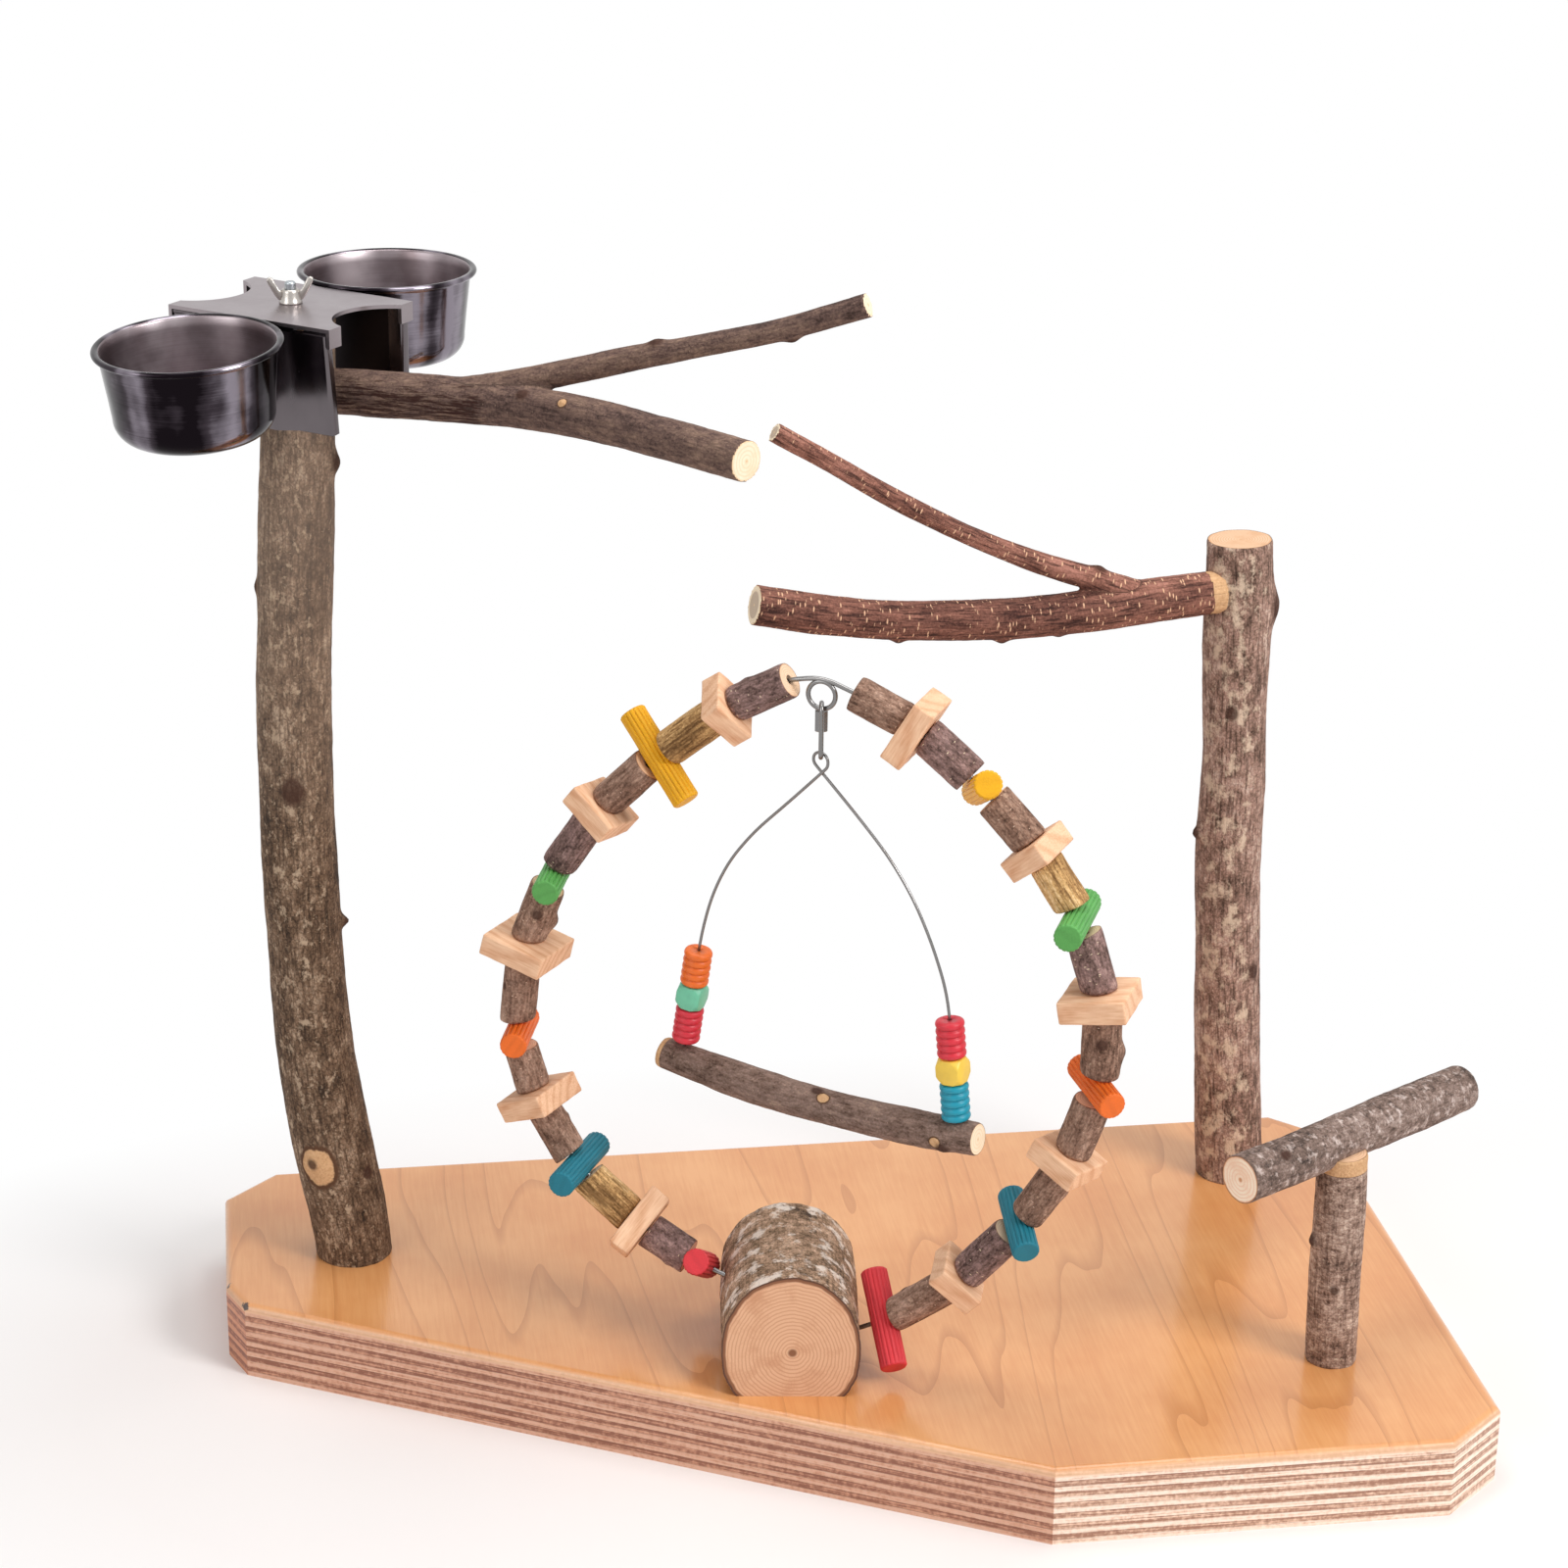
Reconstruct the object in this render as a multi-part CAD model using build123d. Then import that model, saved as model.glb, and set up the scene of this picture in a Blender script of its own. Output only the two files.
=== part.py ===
"""Parrot play stand: plywood base, three natural posts, two forked perches, a beaded hoop with a
swing, and two steel feeding bowls hooked to a bracket with a lock plate and wing nut.

Millimetres. Origin: centre of the board's underside. +X runs along the board's long back edge,
+Y to the back edge, +Z up.
"""
import os
from math import acos, cos, pi, radians, sin, tan

from build123d import *

# ---------------------------------------------------------------- driving dimensions
# base board
BOARD_HALF_X = 332.0
BOARD_HALF_Y = 190.0
BOARD_T = 44.0
BOARD_ARRIS = 4.5
CORNER_CUT = 29.0
FRONT_CUT = (35.0, 31.0)
DIAGONAL_FRONT_X = 85.0
DIAGONAL_LEFT = (-322.0, 33.0)
LEFT_EDGE_FRONT_Y = 57.0

# wood screws from below, and double-ended screws between posts and branches
SCREW_D = 6.0
SCREW_HOLE_D = 6.1
SCREW_HEAD_D = 11.0
SCREW_HEAD_H = 4.0
SCREW_RECESS_D = 12.0
SCREW_RECESS_H = 6.0
SCREW_IN_WOOD = 36.0
STUD_D = 6.0
STUD_HOLE_D = 6.1
STUD_LENGTH = 56.0

# natural wood: (x, y, z, radius) stations along each centre line
LEFT_POST = [(-259.6, 89.1, 44.0, 21.0), (-262.5, 89.5, 70.0, 21.8), (-267.2, 90.2, 95.6, 22.0),
             (-272.5, 91.1, 131.7, 21.8), (-278.0, 91.9, 184.7, 20.9), (-281.0, 92.3, 250.0, 20.5),
             (-281.8, 92.5, 319.0, 20.2), (-280.8, 92.3, 390.0, 20.0), (-276.8, 91.7, 470.0, 19.8),
             (-273.5, 91.2, 530.0, 19.4), (-271.8, 91.0, 592.0, 19.2)]
RIGHT_POST = [(258.9, 121.5, 44.0, 19.4), (257.0, 121.8, 74.0, 19.5), (253.3, 122.4, 134.0, 19.4),
              (249.7, 122.9, 195.0, 18.6), (248.1, 123.2, 244.0, 18.8), (247.8, 123.2, 300.0, 18.4),
              (246.2, 123.4, 350.0, 18.4), (245.3, 123.6, 388.0, 19.0), (244.9, 123.6, 415.0, 18.8),
              (244.1, 123.8, 437.0, 18.4)]
SHORT_POST = [(257.0, -97.0, 44.0, 13.6), (256.4, -96.9, 72.0, 13.9), (256.0, -96.9, 98.5, 13.8),
              (256.2, -96.9, 125.0, 13.5), (255.6, -96.8, 168.0, 13.3)]
UPPER_THICK = [(-266.0, 84.5, 547.0, 12.0), (-254.7, 75.6, 549.0, 12.0), (-227.9, 57.9, 550.9, 12.1),
               (-200.6, 39.2, 553.2, 11.7), (-165.5, 11.6, 555.8, 11.0), (-131.0, -25.0, 557.8, 10.5),
               (-98.4, -64.9, 558.4, 10.3), (-66.2, -105.5, 558.2, 10.1)]
UPPER_THIN = [(-212.0, 46.5, 552.0, 9.0), (-182.4, 26.6, 561.0, 7.6), (-146.1, 7.9, 572.6, 6.4),
              (-110.5, -9.0, 584.2, 6.4), (-75.2, -25.2, 594.4, 5.6), (-40.6, -41.6, 605.2, 5.7),
              (-1.2, -59.9, 621.0, 5.9)]
LOWER_THICK = [(232.0, 117.0, 408.8, 12.2), (222.6, 115.4, 408.7, 12.2), (190.0, 112.2, 406.6, 12.4),
               (154.7, 107.2, 404.0, 11.9), (106.0, 99.2, 403.8, 11.3), (50.0, 91.0, 407.8, 11.0),
               (9.2, 86.0, 413.6, 10.8), (-35.2, 80.7, 423.4, 10.9)]
LOWER_THIN = [(192.0, 112.5, 407.0, 9.0), (160.5, 109.0, 420.4, 6.9), (122.0, 105.4, 434.8, 6.0),
              (80.0, 100.8, 454.4, 5.2), (39.0, 96.0, 477.4, 5.6), (8.9, 93.0, 496.4, 5.3),
              (-24.1, 89.1, 516.4, 5.2)]
CROSS_PERCH = [(190.9, -129.4, 172.0, 13.1), (228.0, -107.4, 171.5, 12.8), (264.0, -85.1, 172.0, 12.9),
               (302.0, -62.0, 172.3, 13.0), (339.1, -39.5, 172.0, 12.7)]
SWING_PERCH = [(-95.0, 0.0, 199.2, 8.4), (-73.3, 0.0, 197.0, 9.0), (-41.2, 0.0, 194.6, 9.4),
               (-7.2, 0.0, 194.0, 9.3), (26.2, 0.0, 194.5, 9.4), (59.0, 0.0, 196.2, 9.3),
               (97.0, 0.0, 199.6, 8.5)]
LIMB_SEAM = (0.31, 0.95, 0.05)
FOOT_SINK = 8.0

# (x, y, z, radius) of the knots and bud swellings on each piece
LEFT_POST_KNOTS = [(-278.0, 71.9, 103.0, 10.0), (-297.5, 92.0, 440.0, 6.0), (-262.0, 92.5, 247.0, 9.5)]
RIGHT_POST_KNOTS = [(229.5, 120.5, 263.0, 5.5), (259.5, 121.0, 405.0, 9.5)]
SHORT_POST_KNOTS = [(243.6, -97.5, 117.0, 4.5)]
UPPER_FORK_KNOTS = [(-161.5, 2.6, 561.0, 6.0), (-142.0, -16.2, 560.0, 5.5), (-98.2, -15.6, 592.0, 5.5),
                    (-35.2, -44.5, 601.0, 5.5)]
LOWER_FORK_KNOTS = [(104.5, 97.2, 395.0, 5.5), (45.0, 88.6, 399.0, 5.0), (160.0, 108.0, 423.5, 6.0),
                    (138.0, 104.0, 396.5, 5.5)]
SWING_PERCH_KNOTS = [(2.8, 3.0, 202.0, 4.2), (81.0, 5.5, 195.0, 5.5)]

# log that holds the hoop
LOG_CENTRE = (-31.5, -50.5)
LOG_YAW = -7.7
LOG_RADIUS = 36.8
LOG_FLAT_BELOW = 25.5
LOG_LENGTH = 101.0
LOG_FACE_LEAN = 14.0

# hoop: its upright plane is parallel to the board's diagonal edge
HOOP_ORIGIN = (-30.0, -53.0, 0.0)
HOOP_YAW = -28.8
WIRE_D = 2.5
WIRE_HOLE_D = 2.6
TUNNEL_LENGTH = 30.0
# corner points of the wire's run as (across, height), from the left end in the log over the top;
# all but the first and last of each side carry a block or a dowel
LEFT_RUN = [(-19.0, 76.8), (-53.0, 85.2), (-89.6, 103.4), (-125.4, 131.6), (-148.6, 168.2),
            (-160.2, 206.2), (-154.6, 257.4), (-138.0, 301.0), (-110.8, 342.4), (-77.6, 376.4),
            (-40.6, 407.4), (-6.5, 427.3)]
HOOP_TOP = (10.8, 431.0)
RIGHT_RUN = [(28.6, 424.8), (61.4, 411.6), (96.4, 384.4), (126.4, 354.8), (149.4, 321.6),
             (163.2, 279.0), (163.2, 231.2), (149.2, 187.0), (124.4, 145.0), (92.8, 106.2),
             (52.0, 73.0), (22.5, 57.5)]
HOOP_CENTRE = (4.0, 250.0)
ARC_SHARE = 0.47
# tighter bends where the straight bead next to a corner reaches up to it
LARGEST_BEND = {LEFT_RUN[-1]: 25.0, RIGHT_RUN[0]: 25.0}

# eye, quick link and swing hang on this upright line across the hoop
HANG_ACROSS = 10.8
EYE_RADIUS = 7.25
EYE_HEIGHT = 421.5
LINK_WIRE_D = 2.5
LINK_HALF_WIDTH = 3.9
LINK_TOP = 417.1
LINK_BOTTOM = 388.25
LINK_GAP = (405.5, 409.5)
LINK_YAW = 81.3
SLEEVE_ACROSS_FLATS = 6.4
SLEEVE_BORE_D = 2.6
SLEEVE_SPAN = (401.0, 412.5)

# swing: its upright plane is turned a little from the hoop's
SWING_YAW = -40.0
SWING_WIRE_D = 1.6
LOOP_RADIUS = 4.8
LOOP_HEIGHT = 385.85
LOOP_TURN = 267.0
LOOP_CORNERS = 5
LEG_OFFSET = 1.15
LEFT_LEG = [(-19.4, 358.7), (-38.5, 339.6), (-54.0, 319.4), (-64.4, 298.0), (-71.2, 274.0)]
LEFT_LEG_END = (-83.2, 196.0)
RIGHT_LEG = [(22.6, 359.4), (40.5, 342.4), (55.0, 323.6), (67.0, 301.0), (77.0, 275.0)]
RIGHT_LEG_END = (85.6, 193.0)

# beads, blocks and dowels
BEAD_BORE_D = 5.4
BLOCK_T = 12.0
BLOCK_ARRIS = 0.8
TOY_BORE_D = 4.0
DOWEL_D = 14.5
DOWEL_ARRIS = 0.9
DOWEL_FLUTES = 18
FLUTE_D = 1.3
TOY_GAP = 0.8
LEFT_BEAD_R = [9.4, 9.8, 9.4, 9.4, 9.6, 9.6, 9.4, 9.4, 10.2, 9.8]
RIGHT_BEAD_R = [9.4, 10.0, 9.8, 9.6, 9.6, 10.2, 9.8, 9.6, 9.6, 9.4]
COLOURS = ["yellow", "green", "orange", "teal", "red"]
# blocks as (side, turn about the wire in degrees), from the top of each side downwards
LEFT_BLOCKS = [(27.0, -32.0), (29.5, 11.0), (36.5, 6.0), (32.5, 17.0), (37.5, -39.0)]
RIGHT_BLOCKS = [(34.0, 4.0), (27.0, -17.0), (35.0, 1.0), (30.0, -19.0), (27.5, 15.0)]
# dowels as (length, turn about the wire in degrees), from the top of each side downwards
LEFT_DOWELS = [(55.0, 15.0), (42.0, 79.0), (42.0, 76.0), (55.0, 88.0), (48.0, 57.0)]
RIGHT_DOWELS = [(55.0, -56.0), (55.0, -84.0), (42.0, -50.0), (42.0, -56.0), (55.0, -38.0)]

# swing beads
SWING_BEAD_R = 7.6
SWING_BEAD_BORE_D = 3.0
RIDGED_LENGTH = 20.0
RIDGE_COUNT = 5
GROOVE_DEPTH = 1.3
GROOVE_HALF_WIDTH = 0.9
CUBE_SIDE = 13.6
CUBE_ROUNDING = 3.2
SWING_BEAD_GAP = 0.5
LEFT_BEADS_FROM = 210.4
RIGHT_BEADS_FROM = 208.0

# bracket over the left post's top; its long way runs along the upper branch
BRACKET_CENTRE = (-274.8, 91.1)
BRACKET_YAW = -38.1
POST_TOP = 588.05
STEEL_T = 2.0
STRAP_HALF = 27.0
FLANGE_HALF_X = 46.0
FLANGE_FACE = 34.0
FLANGE_TOP = 587.95
FLANGE_DROP = 53.0
# the front flange leans in at its foot, so the front bowl droops
FRONT_DROOP = 4.8

# carrier plates, hooked around the upright edges of the flanges
HOOK_T = 1.5
HOOK_GAP = 0.6
HOOK_RETURN = 8.0
HOOK_BEND_R = 1.2
HOOK_BOTTOM = 536.0
HOOK_TOP = 588.25
HOOK_TAB_X = 41.0
HOOK_TAB_WIDTH = 14.0
WELD_SIZE = (20.0, 9.0, 3.0)
WELD_OUT = 4.6
WELD_BELOW_RIM = (14.0, 32.0)

# bowls
BOWL_REACH = 84.3
BOWL_RIM = 593.7
BOWL_WALL = 1.0
BOWL_RIM_R = 47.6
BOWL_TOP_R = 44.5
BOWL_LOW_R = 40.8
BOWL_DEPTH = 48.0
BOWL_CORNER = 12.0
RIM_ROLL_R = 1.5

# lock plate, hanger bolt and wing nut
PLATE_T = 2.0
PLATE_HALF_X = 50.5
PLATE_HALF_Y = 36.0
PLATE_ARC_CHORD = 52.0
PLATE_ARC_DEEP = 18.0
TAB_DROP = 8.0
BOLT_D = 6.0
BOLT_HOLE_D = 6.6
BOLT_TOP = 603.2
BOLT_IN_POST = 30.0
BOLT_ARRIS = 0.8
NUT_BORE_D = 6.1
NUT_HUB_H = 7.0
NUT_HUB_LOW_R = 5.6
NUT_HUB_TOP_R = 4.6
NUT_TURN = 38.0
WING_HALF_T = 1.3
# outline of one wing as (outwards, height above the plate)
WING_OUTLINE = [(2.6, 0.0), (5.4, 0.0), (11.6, 9.5), (12.0, 11.9), (10.0, 13.5), (6.8, 12.1), (3.4, 6.6)]


# ---------------------------------------------------------------- general helpers
def upright_plane(origin, yaw):
    """Plane whose x runs level at the yaw angle and whose y runs up; z points to the front."""
    a = radians(yaw)
    return Plane(origin=origin, x_dir=(cos(a), sin(a), 0), z_dir=(sin(a), -cos(a), 0))


def put(plane, shape):
    """Shape built in the plane's own coordinates, carried to the stand's frame."""
    return plane.location * shape


def rod(start, end, diameter):
    """Solid round rod between two points."""
    start, end = Vector(*start), Vector(*end)
    run = end - start
    plane = Plane(origin=(start + end) * 0.5, z_dir=run)
    return plane.location * Cylinder(diameter / 2, run.length)


def limb(stations):
    """Natural round limb: a smooth loft through circles square to its centre line."""
    points = [Vector(x, y, z) for x, y, z, _ in stations]
    sections = []
    across = Vector(*LIMB_SEAM)
    for i, station in enumerate(stations):
        before = points[max(i - 1, 0)]
        after = points[min(i + 1, len(points) - 1)]
        along = (after - before).normalized()
        across = (across - along * across.dot(along)).normalized()
        sections.append(Plane(origin=points[i], x_dir=across, z_dir=along) * Circle(station[3]))
    return loft(sections)


def post(stations, knots, top=None):
    """Upright limb sawn level at the board's top and, where a height is given, at its own top."""
    (x0, y0, z0, r0), (x1, y1, z1, _) = stations[:2]
    share = FOOT_SINK / (z1 - z0)
    root = (x0 - (x1 - x0) * share, y0 - (y1 - y0) * share, z0 - FOOT_SINK, r0)
    wood = with_knots(limb([root] + stations), knots)
    wood = split(wood, Plane(origin=(0, 0, BOARD_T), z_dir=(0, 0, 1)), keep=Keep.TOP)
    if top is not None:
        wood = split(wood, Plane(origin=(0, 0, top), z_dir=(0, 0, -1)), keep=Keep.TOP)
    return wood


def with_knots(wood, knots):
    """Wood with rounded knots grown on it."""
    for x, y, z, radius in knots:
        wood += Pos(x, y, z) * Sphere(radius)
    return wood


def export(name, *solids):
    """Write one node to its own STEP file."""
    shape = solids[0] if len(solids) == 1 else Compound(children=list(solids))
    export_step(shape, f"parts/{name}.step")


# ---------------------------------------------------------------- base board
def foot(stations):
    """Place of a post's foot on the board."""
    return stations[0][0], stations[0][1]


def log_point(along, height=0.0):
    """Point on the log's upright middle plane, measured from its middle towards the back."""
    a = radians(90 + LOG_YAW)
    return LOG_CENTRE[0] + along * cos(a), LOG_CENTRE[1] + along * sin(a), height


SCREW_PLACES = [foot(LEFT_POST), foot(RIGHT_POST), foot(SHORT_POST), log_point(-27.0)[:2],
                log_point(27.0)[:2]]


def base_board():
    """Board with a long diagonal front-left edge, eased top edges and screw recesses below."""
    outline = [(-BOARD_HALF_X + CORNER_CUT, BOARD_HALF_Y), (-BOARD_HALF_X, BOARD_HALF_Y - CORNER_CUT),
               (-BOARD_HALF_X, LEFT_EDGE_FRONT_Y), DIAGONAL_LEFT, (DIAGONAL_FRONT_X, -BOARD_HALF_Y),
               (BOARD_HALF_X - FRONT_CUT[0], -BOARD_HALF_Y),
               (BOARD_HALF_X, -BOARD_HALF_Y + FRONT_CUT[1]),
               (BOARD_HALF_X, BOARD_HALF_Y - CORNER_CUT), (BOARD_HALF_X - CORNER_CUT, BOARD_HALF_Y)]
    board = extrude(make_face(Polyline(*outline, close=True)), BOARD_T)
    board = fillet(board.faces().sort_by(Axis.Z)[-1].edges(), BOARD_ARRIS)
    for x, y in SCREW_PLACES:
        board -= Pos(x, y, BOARD_T / 2) * Cylinder(SCREW_HOLE_D / 2, BOARD_T + 2)
        board -= Pos(x, y, SCREW_RECESS_H / 2) * Cylinder(SCREW_RECESS_D / 2, SCREW_RECESS_H)
    return board


def base_screw(x, y):
    """Flat-headed wood screw driven up through the board."""
    top = BOARD_T + SCREW_IN_WOOD
    head = Pos(x, y, SCREW_RECESS_H - SCREW_HEAD_H / 2) * Cylinder(SCREW_HEAD_D / 2, SCREW_HEAD_H)
    shank_length = top - 8.0 - SCREW_RECESS_H
    shank = Pos(x, y, SCREW_RECESS_H + shank_length / 2) * Cylinder(SCREW_D / 2, shank_length)
    tip = Pos(x, y, top - 4.0) * Cone(SCREW_D / 2, 0.8, 8.0)
    return head + shank + tip


def drill_from_below(wood, x, y):
    """Pilot hole for a base screw."""
    height = SCREW_IN_WOOD + 4.0
    return wood - Pos(x, y, BOARD_T + height / 2 - 1.0) * Cylinder(SCREW_HOLE_D / 2, height + 2.0)


# ---------------------------------------------------------------- posts and branches
def stud_ends(middle, direction):
    """Both ends of a double-ended screw centred on a joint between two pieces of wood."""
    middle = Vector(*middle)
    half = Vector(*direction).normalized() * (STUD_LENGTH / 2)
    return middle - half, middle + half


UPPER_JOINT = stud_ends((-255.8, 76.6, 548.8), (27.0, -17.9, 2.0))
LOWER_JOINT = stud_ends((226.0, 116.4, 408.8), (-32.0, -3.4, -1.0))
PERCH_JOINT = stud_ends((255.9, -90.0, 158.0), (0.0, 0.0, 1.0))
# the perch stud stays inside the thin perch: it stands in the post more than in the perch
PERCH_STUD_SHIFT = Vector(0.0, 0.0, -18.0)


def drill(wood, ends):
    """Hole for a double-ended screw, a little longer than the screw."""
    over = (ends[1] - ends[0]).normalized() * 1.0
    return wood - rod(ends[0] - over, ends[1] + over, STUD_HOLE_D)


# ---------------------------------------------------------------- hoop
HOOP = upright_plane(HOOP_ORIGIN, HOOP_YAW)
HOOP_RUN = LEFT_RUN + [HOOP_TOP] + RIGHT_RUN


def turn_between(before, corner, after):
    """Angle by which a run turns at a corner, radians."""
    cosine = (corner - before).normalized().dot((after - corner).normalized())
    return acos(max(-1.0, min(1.0, cosine)))


def rounded_run(points):
    """Straight runs joined by tangent arcs that take up most of their two runs."""
    corners = [Vector(*p) for p in points]
    radii = []
    for i in range(1, len(corners) - 1):
        shorter = min((corners[i] - corners[i - 1]).length, (corners[i + 1] - corners[i]).length)
        radius = ARC_SHARE * shorter / tan(turn_between(*corners[i - 1:i + 2]) / 2)
        radii.append(min(radius, LARGEST_BEND.get(points[i], radius)))
    return FilletPolyline(*points, radius=radii)


def tube(path, diameter):
    """Round wire along a path."""
    start = Plane(origin=path @ 0, z_dir=path % 0)
    return sweep(start * Circle(diameter / 2), path=path)


def hoop_stop(index):
    """Place and direction (in the hoop's plane) where the wire rounds corner number index."""
    corners = [Vector(*p) for p in HOOP_RUN[index - 1:index + 2]]
    into = (corners[1] - corners[0]).normalized()
    out = (corners[2] - corners[1]).normalized()
    half_turn = turn_between(*corners) / 2
    shorter = min((corners[1] - corners[0]).length, (corners[2] - corners[1]).length)
    radius = ARC_SHARE * shorter / tan(half_turn)
    inward = (out - into).normalized()
    return corners[1] + inward * radius * (1 / cos(half_turn) - 1), (into + out).normalized()


def toy_frame(index, turn):
    """Plane on the hoop at a corner: z along the wire, x outwards and turned about the wire."""
    place, along = hoop_stop(index)
    outward = Vector(along.Y, -along.X)
    if outward.dot(place - Vector(*HOOP_CENTRE)) < 0:
        outward = outward * -1
    a = radians(turn)
    x_dir = outward * cos(a) + Vector(0, 0, -1) * sin(a)
    return Plane(origin=place, x_dir=x_dir, z_dir=along)


def left_index(number):
    """Corner of the left run that carries toy number 1 (topmost) to 10."""
    return len(LEFT_RUN) - 1 - number


def right_index(number):
    """Corner of the right run that carries toy number 1 (topmost) to 10."""
    return len(LEFT_RUN) + 1 + number


def hoop_wire():
    """Hoop wire with its two ends in the log and the hanging eye welded under its top."""
    wire = tube(rounded_run(HOOP_RUN), WIRE_D)
    eye = Pos(HANG_ACROSS, EYE_HEIGHT, 0) * Torus(EYE_RADIUS, WIRE_D / 2)
    return put(HOOP, wire + eye)


def log_block():
    """Log lying on its sawn flat, with a leaning front face, screw holes and two wire tunnels."""
    middle = BOARD_T + LOG_FLAT_BELOW
    plane = upright_plane((*LOG_CENTRE, 0.0), LOG_YAW)
    log = Pos(0, middle, 0) * Cylinder(LOG_RADIUS, LOG_LENGTH)
    log -= Pos(0, BOARD_T - 50.0, 0) * Box(200, 100, 200)
    lean = Plane(origin=(0, BOARD_T, LOG_LENGTH / 2), x_dir=(1, 0, 0),
                 z_dir=(0, sin(radians(LOG_FACE_LEAN)), cos(radians(LOG_FACE_LEAN))))
    log = split(log, lean, keep=Keep.BOTTOM)
    log = put(plane, log)
    for x, y in SCREW_PLACES[3:]:
        log = drill_from_below(log, x, y)
    for end, corner in ((HOOP_RUN[0], HOOP_RUN[1]), (HOOP_RUN[-1], HOOP_RUN[-2])):
        run = (Vector(*corner) - Vector(*end)).normalized()
        inner = Vector(*end) - run * 1.0
        outer = Vector(*end) + run * TUNNEL_LENGTH
        log -= put(HOOP, rod(tuple(inner), tuple(outer), WIRE_HOLE_D))
    return log


def block(index, side, turn):
    """Square wooden block threaded on the hoop."""
    body = Box(side, side, BLOCK_T)
    body = chamfer(body.edges(), BLOCK_ARRIS)
    body -= Cylinder(TOY_BORE_D / 2, BLOCK_T + 2)
    return put(HOOP, put(toy_frame(index, turn), body))


def dowel(index, length, turn):
    """Fluted dowel threaded crosswise on the hoop."""
    body = chamfer(Cylinder(DOWEL_D / 2, length).edges(), DOWEL_ARRIS)
    for i in range(DOWEL_FLUTES):
        a = 2 * pi * (i + 0.5) / DOWEL_FLUTES
        x, y = DOWEL_D / 2 * cos(a), DOWEL_D / 2 * sin(a)
        body -= Pos(x, y, 0) * Cylinder(FLUTE_D / 2, length + 2)
    body = Rot(0, 90, 0) * body
    body -= Cylinder(TOY_BORE_D / 2, DOWEL_D + 4)
    return put(HOOP, put(toy_frame(index, turn), body))


def half_thickness(number):
    """Half of what toy number 1 to 10 takes along the wire: blocks and dowels alternate."""
    return BLOCK_T / 2 if number % 2 else DOWEL_D / 2


def bark_bead(side, number, radius):
    """Twig length between two toys, sawn parallel to them, with a loose bore for the curved wire."""
    index_of = left_index if side == "left" else right_index
    near, far = index_of(number), index_of(number - 1)
    ends = []
    for index, toy, other in ((near, number, far), (far, number - 1, near)):
        place, along = hoop_stop(index)
        towards = 1.0 if other > index else -1.0
        reach = half_thickness(toy) + TOY_GAP
        if toy == 0:
            place, reach = Vector(*HOOP_RUN[index]), 0.0
            along = (Vector(*HOOP_RUN[near]) - place).normalized() * towards
        ends.append((place + along * towards * reach, along * towards))
    a, b = Vector(*HOOP_RUN[near]), Vector(*HOOP_RUN[far])
    bead = rod(tuple(a), tuple(b + (b - a).normalized() * 12.0), 2 * radius)
    bead -= rod(tuple(a), tuple(b + (b - a).normalized() * 13.0), BEAD_BORE_D)
    for place, inward in ends:
        bead = split(bead, Plane(origin=place, z_dir=inward), keep=Keep.TOP)
    return put(HOOP, bead)


# ---------------------------------------------------------------- link and swing
HANG_POINT = HOOP.from_local_coords(Vector(HANG_ACROSS, 0, 0))
LINK = upright_plane(tuple(HANG_POINT), LINK_YAW)
SWING = upright_plane(tuple(HANG_POINT), SWING_YAW)


def quick_link():
    """Closed link bent from wire, with the gap that its sleeve bridges."""
    straight = LINK_TOP - LINK_BOTTOM - 2 * LINK_HALF_WIDTH
    middle = (LINK_TOP + LINK_BOTTOM) / 2
    link = None
    for side in (-1, 1):
        leg = Rot(90, 0, 0) * Cylinder(LINK_WIRE_D / 2, straight)
        leg = Pos(side * LINK_HALF_WIDTH, middle, 0) * leg
        link = leg if link is None else link + leg
    for up in (-1, 1):
        centre = middle + up * straight / 2
        bend = Torus(LINK_HALF_WIDTH, LINK_WIRE_D / 2)
        bend -= Pos(0, -up * 20.0, 0) * Box(40, 40, 40)
        link += Pos(0, centre, 0) * bend
    gap = LINK_GAP[1] - LINK_GAP[0]
    link -= Pos(LINK_HALF_WIDTH, LINK_GAP[0] + gap / 2, 0) * Box(4.0, gap, 4.0)
    return put(LINK, link)


def link_sleeve():
    """Hexagonal threaded sleeve that closes the link's gap."""
    length = SLEEVE_SPAN[1] - SLEEVE_SPAN[0]
    hexagon = RegularPolygon(SLEEVE_ACROSS_FLATS / 2, 6, major_radius=False)
    sleeve = extrude(hexagon, length / 2, both=True)
    edges = sleeve.edges().group_by(Axis.Z)
    sleeve = chamfer(edges[-1] + edges[0], 0.5)
    sleeve -= Cylinder(SLEEVE_BORE_D / 2, length + 2)
    middle = sum(SLEEVE_SPAN) / 2
    return put(LINK, Pos(LINK_HALF_WIDTH, middle, 0) * Rot(90, 0, 0) * sleeve)


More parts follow.
